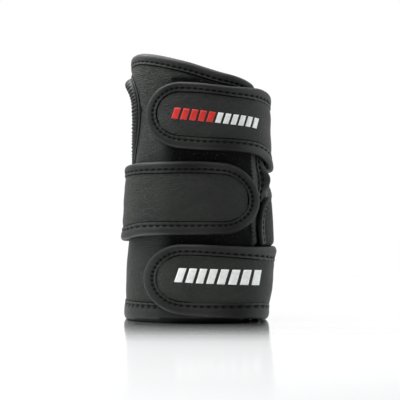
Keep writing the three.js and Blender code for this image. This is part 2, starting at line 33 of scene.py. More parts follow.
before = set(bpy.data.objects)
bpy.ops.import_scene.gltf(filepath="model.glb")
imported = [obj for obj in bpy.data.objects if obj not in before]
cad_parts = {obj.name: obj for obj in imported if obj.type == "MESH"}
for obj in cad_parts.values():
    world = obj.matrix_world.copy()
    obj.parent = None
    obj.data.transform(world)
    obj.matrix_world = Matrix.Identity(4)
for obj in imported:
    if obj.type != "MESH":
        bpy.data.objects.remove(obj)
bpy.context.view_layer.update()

MM = 0.001
WRAP_THICKNESS = 3.0
STRAP_THICKNESS = 2.4
LOOP_THICKNESS = 1.0
TAPE_THICKNESS = 0.6
GAP = 0.35
SLOT_GAP = 0.5
SLOT_DEPTH = 2.2
EDGE_INSET = SLOT_DEPTH + 0.6
AXIS = (-0.1, 1.65)
SQUARENESS = 2.3
PATTERN_HEIGHT = 95
BACK_END = 51
CORNER_RADIUS = 11
TUCK_WIDTH = {"under": 10.5, "above": 3.8}
FLARE_WIDTH = 7.5
FLAP_OUT = 2.2
FLAP_RISE = (49.3, 53)
LAP_LIFT = 0.7
STEP_HEIGHT = 46.3  # above this the forearm strap keeps the tube's section
NOMINAL_TOP = 150
OVER_TAPE = WRAP_THICKNESS / 2 + SLOT_GAP + TAPE_THICKNESS + GAP
STRAP_HALF = STRAP_THICKNESS / 2 + SLOT_GAP + TAPE_THICKNESS
LIFT_FLAT = OVER_TAPE + STRAP_HALF
LIFT_LOOP = WRAP_THICKNESS / 2 + SLOT_GAP + LOOP_THICKNESS + GAP + STRAP_HALF


def table(columns, rows):
    """A table with named columns, as one array a column."""
    return dict(zip(columns.split(), np.array(rows, float).T))


SECTIONS = table("z thumb little back palm corner", [
    (0, 49, 39.9, 36.2, 35, 3.2),
    (10, 48.5, 41.4, 35.6, 34.8, 3.2),
    (25, 48, 43.9, 34.8, 34.3, 3),
    (44, 47, 45.4, 34, 33.7, 2.5),
    (49.3, 46.7, 47.1, 33.8, 33.5, 2.4),
    (51.8, 46.4, 49.1, 33.7, 33.4, 2.3),
    (60, 45.7, 49.2, 33.3, 33, 2.3),
    (76, 44.7, 48.3, 32.7, 32.4, 2.3),
    (92, 43.9, 46.8, 32.1, 31.8, 2.3),
    (106, 43.2, 44, 31.7, 31.4, 2.3),
    (125, 43, 43, 31.4, 31, 2.3),
    (150, 43.4, 42.5, 31, 30.4, 2.3),
    (168, 44.2, 42, 30.6, 29.4, 2.3),
    (182, 43.4, 41.2, 30, 28.4, 2.3),
])
TOP_EDGE = table("s z", [
    (-190, 150), (-160, 150), (-126, 150), (-104, 154), (-86, 163.5), (-70, 174.3),
    (-58, 179.2), (-49, 180.8), (-42, 181.2), (-35, 180.6), (-27, 179.3), (-16, 176.9),
    (-6, 174.5), (4, 171.5), (15, 168.3), (26, 165.8), (34, 163.4), (39, 161.4),
    (44, 159), (52, 154.5),
])
PALM_END = table("z s", [
    (0, 32), (25, 35.2), (50, 40.2), (64, 39.9), (73, 41.3), (79, 44.2), (83, 49), (87, 55.5),
    (91, 62), (97, 67), (107, 69.5), (150, 69.5),
])
BACK_END_OUT = table("z tuck flare", [
    (0, -3.55, 0), (50, -3.55, 0), (56, -2.6, 0), (83, -2.6, 0), (87, -2.1, 1.3), (91, -1.2, 3.6),
    (97, -0.6, 5.1), (102, -0.6, 3.4), (108, -0.6, 1.2), (116, -0.6, 0), (182, -0.6, 0),
])
THUMB = {"s": -62, "z": 139, "half_width": 11.5, "up": 21.3, "down": 37, "pinch": 0.75}
THUMB_ROLL = table("z out", [
    (96, 0), (107, 0), (117, 0.25), (128, 0.55), (140, 0.8), (148, 0.75), (153, 1.0), (158, 1.5),
    (162, 1.3),
])
LOOP_PATCH = {"left": -17.5, "right": 36.5, "bottom": 14, "top": 164.8}
LOOP_TO_PALM_END = 6
THUMB_CUT = 4  # how far the panel is cut back from the thumb hole's rim, under its tape

# Each strap: its round tip, its root, and along it the heights of its edges and how far the
# stitches lie in from them. tip_seam is how far they lie in from the end of the tip, shade is a
# painted shade: how light its leather and tape are painted, for how much light falls on the strap.
# seed is that of its random swell.
STRAPS = {
    "hand_strap": {
        "tip": -33.8, "root": 112, "tip_length": 22, "over_flap": False, "tip_seam": 4.9,
        "shade": 1.0, "seed": 31,
        "edges": table("s lower upper lower_seam upper_seam", [
            (-33.8, 118.5, 161.5, 5.9, 4.1), (-12, 116.8, 161.2, 5.9, 4.1),
            (0, 115.8, 160.6, 5.9, 4.1), (20, 115, 158.4, 5.9, 4.7), (34, 113.5, 157.7, 5.9, 5.6),
            (44, 110.5, 157, 6, 6.4), (62, 102.2, 153, 6, 6.6), (80, 99.8, 149, 6, 6.6),
            (112, 99.2, 147, 6, 6.6),
        ]),
    },
    "wrist_strap": {
        "tip": 38.5, "root": -114, "tip_length": 23.5, "over_flap": False, "tip_seam": 5.7,
        "shade": 0.86, "seed": 32,
        "edges": table("s lower upper lower_seam upper_seam", [
            (-114, 52.5, 98, 6.4, 5.1), (-80, 52.4, 100.5, 6.4, 5.1), (-62, 53.6, 104, 6.4, 4.9),
            (-46, 55.9, 106.4, 6.4, 5.1), (-33, 58.3, 107.6, 6.4, 5.3), (0, 59.1, 108.2, 6.4, 5.3),
            (20, 59.4, 106.8, 6.4, 5.1), (38.5, 59.8, 105.6, 6.4, 5.1),
        ]),
    },
    "forearm_strap": {
        "tip": -32.5, "root": 112, "tip_length": 23, "over_flap": True, "tip_seam": 6.1,
        "shade": 0.95, "seed": 33,
        "edges": table("s lower upper lower_seam upper_seam", [
            (-32.5, 8, 53, 5.9, 4.7), (-14, 6.4, 53, 6.3, 4.7), (0, 4.8, 52.8, 7, 4.8),
            (30, 2.9, 51, 8.6, 5.8), (40, 1.2, 50.7, 9.2, 6.8), (50, 0.7, 50.4, 7.2, 7.7),
            (62, 0.7, 50.1, 5.9, 8.2), (80, 0.9, 49.6, 5.9, 8.2), (112, 1.2, 49.2, 5.9, 8.2),
        ]),
    },
}
STRIP_WIDTH = 2.1  # from a strap's stitches to the inner edge of its tape

STITCH_PITCH = 4.1
STITCH_LENGTH = 2.75
STITCH_RISE = 0.2
STITCH_TO_END = 0.2
THREAD_RADIUS = 0.4
TAPE_STEP = 0.75


# The pattern and the tube

def look_up(rows, column, at):
    """Smooth value of a table's column, by a cubic through its rows. at is a place in the table's
    first column."""
    keys, values = next(iter(rows.values())), rows[column]
    x = np.clip(at, keys[0], keys[-1])
    i = np.clip(np.searchsorted(keys, x) - 1, 0, len(keys) - 2)
    after = np.minimum(np.arange(len(keys)) + 1, len(keys) - 1)
    before = np.maximum(np.arange(len(keys)) - 1, 0)
    slopes = (values[after] - values[before]) / (keys[after] - keys[before])
    width = keys[i + 1] - keys[i]
    t = (x - keys[i]) / width
    t2, t3 = t * t, t * t * t
    return (
        values[i] * (2 * t3 - 3 * t2 + 1) + slopes[i] * width * (t3 - 2 * t2 + t)
        + values[i + 1] * (3 * t2 - 2 * t3) + slopes[i + 1] * width * (t3 - t2)
    )


def smooth(x, start, end):
    """0 before start, 1 after end, and a smooth step between."""
    t = np.clip((x - start) / (end - start), 0, 1)
    return t * t * (3 - 2 * t)


def mix(a, b, share):
    return a + (b - a) * share


def section_point(angle, z):
    """Point of the tube's cross-section at one angle round the axis, 0 at the back of the hand."""
    sin, cos = np.sin(angle), np.cos(angle)
    reach_x = np.where(sin > 0, look_up(SECTIONS, "little", z), look_up(SECTIONS, "thumb", z))
    reach_y = np.where(cos > 0, look_up(SECTIONS, "back", z), look_up(SECTIONS, "palm", z))
    power = np.where((sin > 0) & (cos > 0), look_up(SECTIONS, "corner", z), SQUARENESS)
    radius = (np.abs(sin / reach_x) ** power + np.abs(cos / reach_y) ** power) ** (-1 / power)
    return radius * sin, -radius * cos


ANGLE_STEP = 0.01
ANGLES = np.linspace(0, 2 * math.pi, 721)
girth_x, girth_y = section_point(ANGLES, np.full(len(ANGLES), float(PATTERN_HEIGHT)))
LENGTHS = np.concatenate([[0], np.cumsum(np.hypot(np.diff(girth_x), np.diff(girth_y)))])
GIRTH = LENGTHS[-1]


def angle_at(s):
    turns = np.floor(s / GIRTH)
    return 2 * math.pi * turns + np.interp(s - turns * GIRTH, LENGTHS, ANGLES)


def on_tube(s, z, d):
    """Wraps points of the flat pattern round the tube."""
    s, z, d = np.broadcast_arrays(np.asarray(s, float), np.asarray(z, float), np.asarray(d, float))
    angle = angle_at(s)
    x, y = section_point(angle, z)
    x1, y1 = section_point(angle + ANGLE_STEP, z)
    x0, y0 = section_point(angle - ANGLE_STEP, z)
    length = np.hypot(x1 - x0, y1 - y0)
    along_x, along_y = (x1 - x0) / length, (y1 - y0) / length
    return np.stack([AXIS[0] + x + along_y * d, AXIS[1] + y - along_x * d, z], axis=-1)


def top_edge(s):
    return look_up(TOP_EDGE, "z", s)


def palm_end(z):
    return look_up(PALM_END, "s", z)


def flap_rise(z):
    """How far the palm side's end has risen above the forearm strap, from 0 to 1."""
    return smooth(z, *FLAP_RISE)


def tuck_end(z):
    """Where the back panel's tuck is complete, just short of the palm side's end."""
    return np.minimum(palm_end(z) + 1, 43.5)


def tuck_start(z):
    return tuck_end(z) - mix(TUCK_WIDTH["under"], TUCK_WIDTH["above"], flap_rise(z))


def back_end_out(s, z):
    """How far the back panel's end stands out of the tube: tucked in under the palm side's end,
    and its roll flared out at the wrist."""
    deeper = FLAP_OUT * (1 - flap_rise(z))
    tuck = (look_up(BACK_END_OUT, "tuck", z) - deeper) * smooth(s, tuck_start(z), tuck_end(z))
    return tuck + look_up(BACK_END_OUT, "flare", z) * smooth(s, BACK_END - FLARE_WIDTH, BACK_END)


def flap_out(s, z):
    """How far the palm side's end stands out where it laps over the back panel's end."""
    fade = np.maximum(palm_end(z) + 3, BACK_END - 1)
    return FLAP_OUT * flap_rise(z) * (1 - smooth(z, 80, 92)) * (1 - smooth(s, fade, fade + 13))


def lap_lift(s, z):
    """How much further out the forearm strap lies where it crosses the lapped ends."""
    edge = palm_end(z)
    wide = smooth(s, edge - 20, edge - 5) - smooth(s, edge + 12, edge + 28)
    return LAP_LIFT * wide + flap_out(s, z) * smooth(s, edge - 9, edge - 1)


def on_wrap(s, z, d):
    return on_tube(s, z, d + back_end_out(s, z) + flap_out(s + GIRTH, z))


def slant(rows, column, at):
    """How much longer a step across a slanting edge is than one square to it."""
    rise = look_up(rows, column, at + 1) - look_up(rows, column, at - 1)
    return np.hypot(1, rise / 2)


def nominal_rows(count):
    """Heights from the bottom to the top edge, closer together round the corners."""
    corner = CORNER_RADIUS * (1 - np.cos(np.linspace(0, math.pi / 2, 10)))
    middle = np.linspace(CORNER_RADIUS, NOMINAL_TOP - CORNER_RADIUS, count)[1:-1]
    return np.concatenate([corner, middle, NOMINAL_TOP - corner[::-1]])


def wrap_rows(nominal, inset):
    """Each row's reach round the tube, start and end, and its share of height, with every edge
    moved inwards by inset."""
    from_edge = np.minimum(nominal, NOMINAL_TOP - nominal)
    angle = np.arccos(1 - np.minimum(from_edge / CORNER_RADIUS, 1))
    corner = CORNER_RADIUS - inset
    cut = corner * (1 - np.sin(angle))
    drop = np.where(from_edge < CORNER_RADIUS, inset + corner * (1 - np.cos(angle)), from_edge)
    height = np.where(nominal < NOMINAL_TOP / 2, drop, NOMINAL_TOP - drop)
    start = palm_end(nominal) - GIRTH + inset * slant(PALM_END, "s", nominal) + cut
    return start, BACK_END - inset - cut, height


def wrap_height(height, s, inset):
    share = (height - inset) / (NOMINAL_TOP - 2 * inset)
    return inset + share * (top_edge(s) - inset - inset * slant(TOP_EDGE, "z", s))


def thumb_rim(count):
    """The rim of the thumb hole, clockwise on the pattern, with the panel on its left."""
    turn = np.linspace(0, 2 * math.pi, count, endpoint=False)
    sin, cos = np.sin(turn), np.cos(turn)
    reach = np.where(cos > 0, THUMB["up"], THUMB["down"])
    pinch = np.where(cos > 0, 1, 1 - THUMB["pinch"] * np.abs(cos) ** 1.5)
    return THUMB["s"] + sin * THUMB["half_width"] * pinch, THUMB["z"] + cos * reach


def distance_to(s, z, line_s, line_z):
    """Distance on the pattern from each point to the nearest point of a dense line."""
    best = np.full(s.shape, 1e9)
    for a, b in zip(line_s, line_z):
        best = np.minimum(best, np.hypot(s - a, z - b))
    return best


def inside_rim(s, z):
    """Whether each point lies inside the thumb hole."""
    up = z - THUMB["z"]
    cos = np.clip(up / np.where(up > 0, THUMB["up"], THUMB["down"]), -1, 1)
    pinch = 1 - THUMB["pinch"] * np.maximum(-cos, 0) ** 1.5
    return np.abs(s - THUMB["s"]) < THUMB["half_width"] * pinch * np.sqrt(1 - cos**2)


def ripple(s, z, seed, size, across=1.0):
    """Smooth random swell of about -1 to 1, with bumps size mm long, across times as wide."""
    chance = np.random.default_rng(seed)
    total = np.zeros(np.broadcast(s, z).shape)
    count = 14
    for _ in range(count):
        angle, phase = chance.uniform(0, 2 * math.pi, 2)
        wave = 2 * math.pi / (size * chance.uniform(0.7, 1.6))
        total += np.sin(wave * (math.cos(angle) * s + math.sin(angle) * z / across) + phase)
    return total / math.sqrt(count)


# Making meshes

def add_object(name, data):
    thing = bpy.data.objects.new(name, data)
    bpy.context.scene.collection.objects.link(thing)
    return thing


def make_piece(name, points, faces, materials, face_material=None, pattern=None, shade=None):
    """A smooth closed mesh that rides on the object, from points in millimetres. pattern holds the
    points' s and z, for the textures, and shade how light they are painted, for random wear and for
    painted light and shade."""
    points = np.asarray(points, float).reshape(-1, 3)
    used, faces = np.unique(np.asarray(faces), return_inverse=True)
    faces = faces.reshape(-1, 4)
    points = points[used]
    a, b, c, e = (points[faces[:, i]] for i in range(4))
    volume = (a * np.cross(b, c)).sum() + (a * np.cross(c, e)).sum()
    if volume < 0:
        faces = faces[:, ::-1]
    mesh = bpy.data.meshes.new(name)
    mesh.from_pydata((points * MM).tolist(), [], faces.tolist())
    for material in materials:
        mesh.materials.append(material)
    if face_material is not None:
        mesh.polygons.foreach_set("material_index", np.asarray(face_material, np.int32))
    mesh.polygons.foreach_set("use_smooth", np.ones(len(faces), bool))
    if pattern is not None:
        flat = np.stack([values.ravel() for values in pattern], axis=1)[used] / 100
        layer = mesh.uv_layers.new(name="pattern")
        layer.data.foreach_set("uv", flat[faces.ravel()].astype(np.float32).ravel())
    if shade is not None:
        values = np.asarray(shade, float).ravel()[used].astype(np.float32)
        mesh.attributes.new("shade", "FLOAT", "POINT").data.foreach_set("value", values)
    mesh.validate()
    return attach(add_object(name, mesh), "root")


def grid_quads(columns, rows):
    index = np.arange(columns * rows).reshape(columns, rows)
    return np.stack([index[:-1, :-1], index[1:, :-1], index[1:, 1:], index[:-1, 1:]], axis=-1)


def shell_faces(quads, side):
    """Faces of a closed shell from those of its outer side: the inner side's points come side
    places later, and every free edge gets a rim."""
    start, end = np.concatenate([quads[:, [i, (i + 1) % 4]] for i in range(4)]).T
    free = ~np.isin(start * side + end, end * side + start)
    start, end = start[free], end[free]
    rim_quads = np.stack([end, start, start + side, end + side], axis=-1)
    return np.concatenate([quads, quads[:, ::-1] + side, rim_quads])


def make_shell(name, outer, inner, materials, keep=None, pattern=None, shade=None):
    """A closed piece with an outer and an inner side, grids of points, and rims round every hole."""
    columns, rows = outer.shape[:2]
    quads = grid_quads(columns, rows)
    quads = quads[keep] if keep is not None else quads.reshape(-1, 4)
    faces = shell_faces(quads, columns * rows)
    kinds = np.where(np.arange(len(faces)) < len(quads), 0, len(materials) - 1)
    points = np.concatenate([outer.reshape(-1, 3), inner.reshape(-1, 3)])
    if pattern is not None:
        pattern = [np.concatenate([values, values]) for values in pattern]
    if shade is not None:
        shade = np.concatenate([shade, shade])
    return make_piece(name, points, faces, materials, kinds, pattern, shade)


def tube_quads(here, there):
    """Faces between neighbouring rings of points, each closed in itself."""
    ahead, beside = np.roll(there, -1, axis=-1), np.roll(here, -1, axis=-1)
    return np.stack([here, there, ahead, beside], axis=-1).reshape(-1, 4)


def make_sweep(name, rings, closed, materials, pattern, shade):
    """A closed section swept along a line: rings of points, joined end to end if closed."""
    count, size = rings.shape[:2]
    index = np.arange(count * size).reshape(count, size)
    if closed:
        faces = tube_quads(index, np.roll(index, -1, axis=0))
    else:
        i = np.arange(size // 2 - 1)
        cap = np.stack([i, i + 1, size - 2 - i, size - 1 - i], axis=1)
        faces = tube_quads(index[:-1], index[1:])
        faces = np.concatenate([faces, index[0][cap], index[-1][cap[:, ::-1]]])
    return make_piece(name, rings, faces, materials, None, pattern, shade)


ODD_WAY = (0.31, 0.17, 0.93)  # a direction that no stitch runs along


def capsules(ends, radius, around=7, along=5):
    """Closed capsules between pairs of points: their points and faces."""
    start, end = ends[:, 0], ends[:, 1]
    run = end - start
    length = np.linalg.norm(run, axis=1, keepdims=True)
    run = run / length
    side = np.cross(run, np.tile(ODD_WAY, (len(run), 1)))
    side /= np.linalg.norm(side, axis=1, keepdims=True)
    other = np.cross(run, side)
    tilt = np.linspace(-math.pi / 2, math.pi / 2, 2 * along)
    turn = np.linspace(0, 2 * math.pi, around, endpoint=False)
    centre = (start + end) / 2
    rings = []
    for i, angle in enumerate(tilt):
        half = np.maximum(length / 2 - radius, 0) * (-1 if i < along else 1)
        middle = centre + run * (half + radius * math.sin(angle))
        wide = radius * max(math.cos(angle), 0.02)
        ring = [middle + wide * (side * math.cos(a) + other * math.sin(a)) for a in turn]
        rings.append(np.stack(ring, axis=1))
    points = np.stack(rings, axis=1)
    index = np.arange(points[..., 0].size).reshape(points.shape[:3])
    return points.reshape(-1, 3), tube_quads(index[:, :-1], index[:, 1:])


# Materials

class Nodes:
    """The node tree of a material or a world, with short ways to add to it."""

    def __init__(self, owner):
        owner.use_nodes = True
        self.tree = owner.node_tree

    def put(self, value, socket):
        if isinstance(value, bpy.types.NodeSocket):
            self.tree.links.new(value, socket)
        else:
            socket.default_value = value

    def add(self, kind, inputs=None, **settings):
        node = self.tree.nodes.new("ShaderNode" + kind)
        for name, value in settings.items():
            setattr(node, name, value)
        for name, value in (inputs or {}).items():
            self.put(value, node.inputs[name])
        return node

    def math(self, operation, first, second=0.0, kind="Math"):
        return self.add(kind, {0: first, 1: second}, operation=operation).outputs[0]

    def place(self, kind="Object"):
        return self.add("TexCoord").outputs[kind]

    def noise(self, place, scale, detail=2.0, distortion=0.0):
        inputs = {"Vector": place, "Scale": scale, "Detail": detail, "Distortion": distortion}
        return self.add("TexNoise", inputs).outputs["Fac"]

    def spread(self, value, start, end, low=0.0, high=1.0, shape="LINEAR"):
        """A value's place between start and end, as a number between low and high."""
        inputs = {"Value": value, "From Min": start, "From Max": end, "To Min": low, "To Max": high}
        return self.add("MapRange", inputs, interpolation_type=shape).outputs[0]

    def tones(self, factor, colour, stops):
        """Shades of one colour: stops are pairs of the factor and the colour's share there."""
        ramp = self.add("ValToRGB", {"Fac": factor})
        elements = ramp.color_ramp.elements
        while len(elements) < len(stops):
            elements.new(0.5)
        for element, (position, share) in zip(elements, stops):
            element.position = position
            element.color = (colour[0] * share, colour[1] * share, colour[2] * share, 1)
        return ramp.outputs[0]

    def bump(self, height, depth, surface):
        """Bumps depth metres deep for each unit of height."""
        bump = self.add("Bump", {"Height": height, "Distance": depth, "Strength": 1.0})
        self.put(bump.outputs[0], surface["Normal"])


def new_material(name, roughness, specular=0.5, sheen=0.0):
    """A material, its nodes and the inputs of its surface."""
    material = bpy.data.materials.new(name)
    nodes = Nodes(material)
    surface = nodes.tree.nodes["Principled BSDF"].inputs
    surface["Roughness"].default_value = roughness
    surface["Specular IOR Level"].default_value = specular
    surface["Sheen Weight"].default_value = sheen
    return material, nodes, surface


# Leather: how shiny its crowns are, the pebbles' wobble in metres and their rounding, the pores'
# share of the height, and how far the roughness swings. Wrinkles lie slanting on the pattern.
LEATHER_SPECULAR = 0.27
PEBBLE_WOBBLE = 0.0011
PEBBLE_EDGE = 0.28
PORE_SHARE = 0.7
GLOSS_SWING = 0.07
WRINKLE_TURN = 0.5
WRINKLE_STRETCH = (0.9, 1.8, 1)
CREASE_WIDTH = 0.035


def grain_height(nodes, grain):
    """Height of rounded pebbles, grain of them a metre, with pores."""
    place = nodes.place()
    wobble = nodes.add("TexNoise", {"Vector": place, "Scale": 300.0}).outputs["Color"]
    moved = nodes.math("MULTIPLY", wobble, (PEBBLE_WOBBLE,) * 3, "VectorMath")
    where = nodes.math("ADD", place, moved, "VectorMath")
    pebbles = nodes.add("TexVoronoi", {"Vector": where, "Scale": grain}, feature="DISTANCE_TO_EDGE")
    rounded = nodes.spread(pebbles.outputs["Distance"], 0, PEBBLE_EDGE, shape="SMOOTHSTEP")
    pores = nodes.math("MULTIPLY", nodes.noise(place, grain * 1.9, 3.0), PORE_SHARE)
    return nodes.math("ADD", rounded, pores)


def wrinkle_height(nodes, crease, wrinkle):
    """Height of long creases, here and there, crease deep, and of fine wrinkles, wrinkle high."""
    pattern = nodes.place("UV")
    turned = {"Vector": pattern, "Rotation": (0, 0, WRINKLE_TURN), "Scale": WRINKLE_STRETCH}
    flat = nodes.add("Mapping", turned).outputs[0]
    folds = nodes.math("SUBTRACT", nodes.noise(flat, 11.0, 3.0, 1.2), 0.5)
    groove = nodes.spread(nodes.math("ABSOLUTE", folds), 0, CREASE_WIDTH)
    where_creased = nodes.spread(nodes.noise(pattern, 4.0), 0.44, 0.62)
    creases = nodes.math("MULTIPLY", nodes.math("SUBTRACT", groove, 1.0), where_creased)
    fine = nodes.math("MULTIPLY", nodes.noise(flat, 30.0, 2.5, 1.0), wrinkle)
    return nodes.math("ADD", nodes.math("MULTIPLY", creases, crease), fine)


def leather(name, colour, roughness, grain, depth, crease, wrinkle):
    """Soft-faced leather: grain, wrinkles, mottled colour, and a shade attribute that scales its
    colour
    and its shine: random wear, and painted light and shade, a painted highlight on its crowns and
    painted shade in its grooves and creases. depth is how deep the grain is, in metres."""
    material, nodes, surface = new_material(name, roughness)
    height = nodes.math("ADD", grain_height(nodes, grain), wrinkle_height(nodes, crease, wrinkle))
    nodes.bump(height, depth, surface)
    cloud = nodes.noise(nodes.place(), 60.0, 4.0)
    tones = nodes.tones(cloud, colour, ((0.3, 0.8), (0.7, 1.2)))
    wear_and_painted_shade = nodes.add("Attribute", attribute_name="shade").outputs
    # The shade attribute, random wear with painted light and shade, scales the colour and the shine.
    nodes.put(nodes.math("MULTIPLY", tones, wear_and_painted_shade["Vector"], "VectorMath"), surface["Base Color"])
    nodes.put(nodes.math("MULTIPLY", wear_and_painted_shade["Fac"], LEATHER_SPECULAR), surface["Specular IOR Level"])
    gloss = nodes.spread(cloud, 0, 1, roughness + GLOSS_SWING, roughness - GLOSS_SWING)
    nodes.put(gloss, surface["Roughness"])
    return material


FABRIC_SPECULAR = 0.2
LINT_COLOUR = (0.12, 0.12, 0.11, 1)
PAINT_DEPTH = 0.00004


def fabric(name, colour, scale, depth, fleck=0.0, roughness=0.95, sheen=0.1):
    """Matt knitted or brushed fabric with a tangled surface and a few pale flecks of lint."""
    material, nodes, surface = new_material(name, roughness, FABRIC_SPECULAR, sheen)
    place = nodes.place()
    tangle = nodes.noise(place, scale, 5.0, 2.0)
    nodes.bump(tangle, depth, surface)
    pale = nodes.spread(nodes.noise(place, 1300.0, 1.0), 0.66, 0.74, 0, fleck)
    tones = nodes.tones(tangle, colour, ((0.35, 0.45), (0.7, 1.6)))
    mixed = nodes.add("Mix", {"Factor": pale, "A": tones, "B": LINT_COLOUR}, data_type="RGBA")
    nodes.put(mixed.outputs["Result"], surface["Base Color"])
    return material


def paint(name, colour, roughness):
    """Printed paint with fine unevenness, rubbed thin here and there."""
    material, nodes, surface = new_material(name, roughness)
    place = nodes.place()
    nodes.bump(nodes.noise(place, 1200.0, 3.0), PAINT_DEPTH, surface)
    tones = nodes.tones(nodes.noise(place, 500.0), colour, ((0.3, 0.86), (0.6, 1.0)))
    nodes.put(tones, surface["Base Color"])
    return material


PANEL = leather("panel_leather", (0.0098, 0.0112, 0.0086), 0.5, 900, 0.0002, 1.8, 3.2)
TAPE = leather("tape_leather", (0.0116, 0.0126, 0.0107), 0.47, 1700, 0.00006, 0.0, 2.0)
LINING = fabric("lining_knit", (0.01, 0.01, 0.0105), 1800, 0.00015)
LOOP = fabric("loop_fabric", (0.0022, 0.0025, 0.0021), 1500, 0.0004, 0.5, 0.95, 0.0)
PILE = fabric("loop_pile", (0.0042, 0.0046, 0.004), 2500, 0.0001, 0.6, 0.9, 0.0)
THREAD = fabric("black_thread", (0.0012, 0.0012, 0.0012), 3000, 0.0001, 0.0, 0.95, 0.0)
RED = paint("red_print", (0.62, 0.025, 0.018), 0.5)
WHITE = paint("white_print", (0.8, 0.8, 0.78), 0.5)


# The taped edges

def resample(run, step, closed):
    """Even stations along an outline of the pattern, with the way into the panel at each."""
    if closed:
        run = {name: np.append(values, values[0]) for name, values in run.items()}
    along = np.concatenate([[0], np.cumsum(np.hypot(np.diff(run["s"]), np.diff(run["z"])))])
    count = int(round(along[-1] / step))
    t = np.linspace(0, along[-1], count + 1)
    even = {name: np.interp(t, along, values) for name, values in run.items()}
    if closed:
        even = {name: values[:-1] for name, values in even.items()}
        ds = np.roll(even["s"], -1) - np.roll(even["s"], 1)
        dz = np.roll(even["z"], -1) - np.roll(even["z"], 1)
        t = t[:-1]
    else:
        ds, dz = np.gradient(even["s"]), np.gradient(even["z"])
    length = np.hypot(ds, dz)
    even["in_s"], even["in_z"], even["t"] = -dz / length, ds / length, t
    even["total"] = along[-1]
    return even


# The tape's outer side. First comes its rounded edge, over ROLL_TURN of the way to the stitches.
# Then come rows of: share of the way to the stitches (roll) or from them to the tape's inner edge
# (strip), rise from the groove's bottom, 0, to the roll's crown, 1, and the painted shade at a
# stitch
# and between two: painted shade in the groove and at the tape's inner edge, and a painted highlight
# on the strip.
ROLL_TURN = 0.46
ROLL_ROUND = np.linspace(0, math.pi / 2, 8)[1:]
ROLL = [
    (0.55, 0.99, 1, 1), (0.67, 0.93, 1, 1), (0.78, 0.79, 1, 1), (0.87, 0.55, 0.16, 0.9),
    (0.95, 0.2, 0.16, 0.9), (1.0, 0.0, 0.16, 0.75),
]
STRIP = [
    (0.2, 0.06, 0.16, 0.8), (0.4, 0.3, 1.2, 1.2), (0.62, 0.36, 1.2, 1.2), (0.86, 0.33, 1.2, 1.2),
    (1.0, 0.16, 0.3, 0.3),
]
# Beyond the tape's inner edge: a thin film of tape on the panel, painted dark as the shadow in the
# crease, as (reach, rise, shade).
CREASE = [(0.12, 0.07, 0.12), (0.55, 0.1, 0.15), (0.75, 0.09, 0.5), (0.8, 0.03, 0.5)]
# The tape's inner side, as the roll's rows but with no groove to show.
INNER_ROLL = [(0.75, 0.92), (0.93, 0.45), (1.0, 0.34)]
INNER_EDGE = 0.3
# On the inner side, a thin film past the tape's edge with a painted shadow in the crease.
INNER_CREASE = {"reach": 0.2, "rise": 0.03, "shade": 0.5}
ROLL_RISE = 1.1
GROOVE_RISE = 0.08
BRIDGE_RISE = 0.5  # how far the tape bulges up between two stitches
WEAR = {"size": 30, "swing": 0.22, "seed": 3}
# The painted shadow on the tape's underside near the floor: how high it reaches for each millimetre
# in front of the axis, and its painted shade.
UNDERSIDE_SHADOW = {"rise": 0.09, "shade": 0.25}


def shade_near_floor(points):
    """Painted shadow: the tape's underside is painted dark where it rolls in under the forearm end,
    near the floor.
    """
    in_front, level = -points[..., 1], points[..., 2]
    return np.where(level < UNDERSIDE_SHADOW["rise"] * in_front, UNDERSIDE_SHADOW["shade"], 1.0)


def into_panel(run, k):
    """Places k in from each station of an outline."""
    return (run[name][:, None] + run["in_" + name][:, None] * k for name in ("s", "z"))


def tape_rings(run, thickness, place, pitch):
    """The tape's points, one ring of the section a station, their pattern and their shade."""
    panel = thickness / 2
    crown = panel + ROLL_RISE * run["fat"]
    bridge = 0.5 - 0.5 * np.cos(2 * math.pi * run["t"] / pitch)
    groove = panel + GROOVE_RISE + BRIDGE_RISE * bridge * run["fat"]
    stitch, line = run["stitch"], run["line"]
    flat = 0 * line
    worn = 1 + WEAR["swing"] * ripple(run["t"], flat, WEAR["seed"], WEAR["size"])
    outer, inner = [], []
    for angle in ROLL_ROUND:
        k = ROLL_TURN * stitch * (1 - math.cos(angle))
        outer.append((k, crown * math.sin(angle), worn))
        inner.append((k, -crown * math.sin(angle), worn))
    for share, rise, at_stitch, between in ROLL:
        shade = mix(at_stitch, between, bridge) * worn
        outer.append((share * stitch, mix(groove, crown, rise), shade))
    for share, rise, at_stitch, between in STRIP:
        shade = mix(at_stitch, between, bridge) * worn
        outer.append((stitch + share * (line - stitch), mix(groove, crown, rise), shade))
    for reach, rise, dark in CREASE:
        outer.append((line + reach, panel + rise + flat, dark * worn))
    for share, rise in INNER_ROLL:
        inner.append((share * stitch, -mix(panel + GROOVE_RISE, crown, rise), worn))
    low = panel + INNER_CREASE["rise"] + flat
    inner.append((line, -(panel + INNER_EDGE) + flat, worn))
    inner.append((line + INNER_CREASE["reach"], -low, INNER_CREASE["shade"] * worn))
    slot = [(SLOT_DEPTH + flat, -low, worn), (SLOT_DEPTH + flat, low, worn)]
    edge = [(flat, flat, worn)]
    section = outer[::-1] + edge + inner + slot
    k, d, shade = (np.stack(values, axis=1) for values in zip(*section))
    s, z = into_panel(run, k)
    points = place(s, z, d)
    return points, (s, z), shade * shade_near_floor(points)


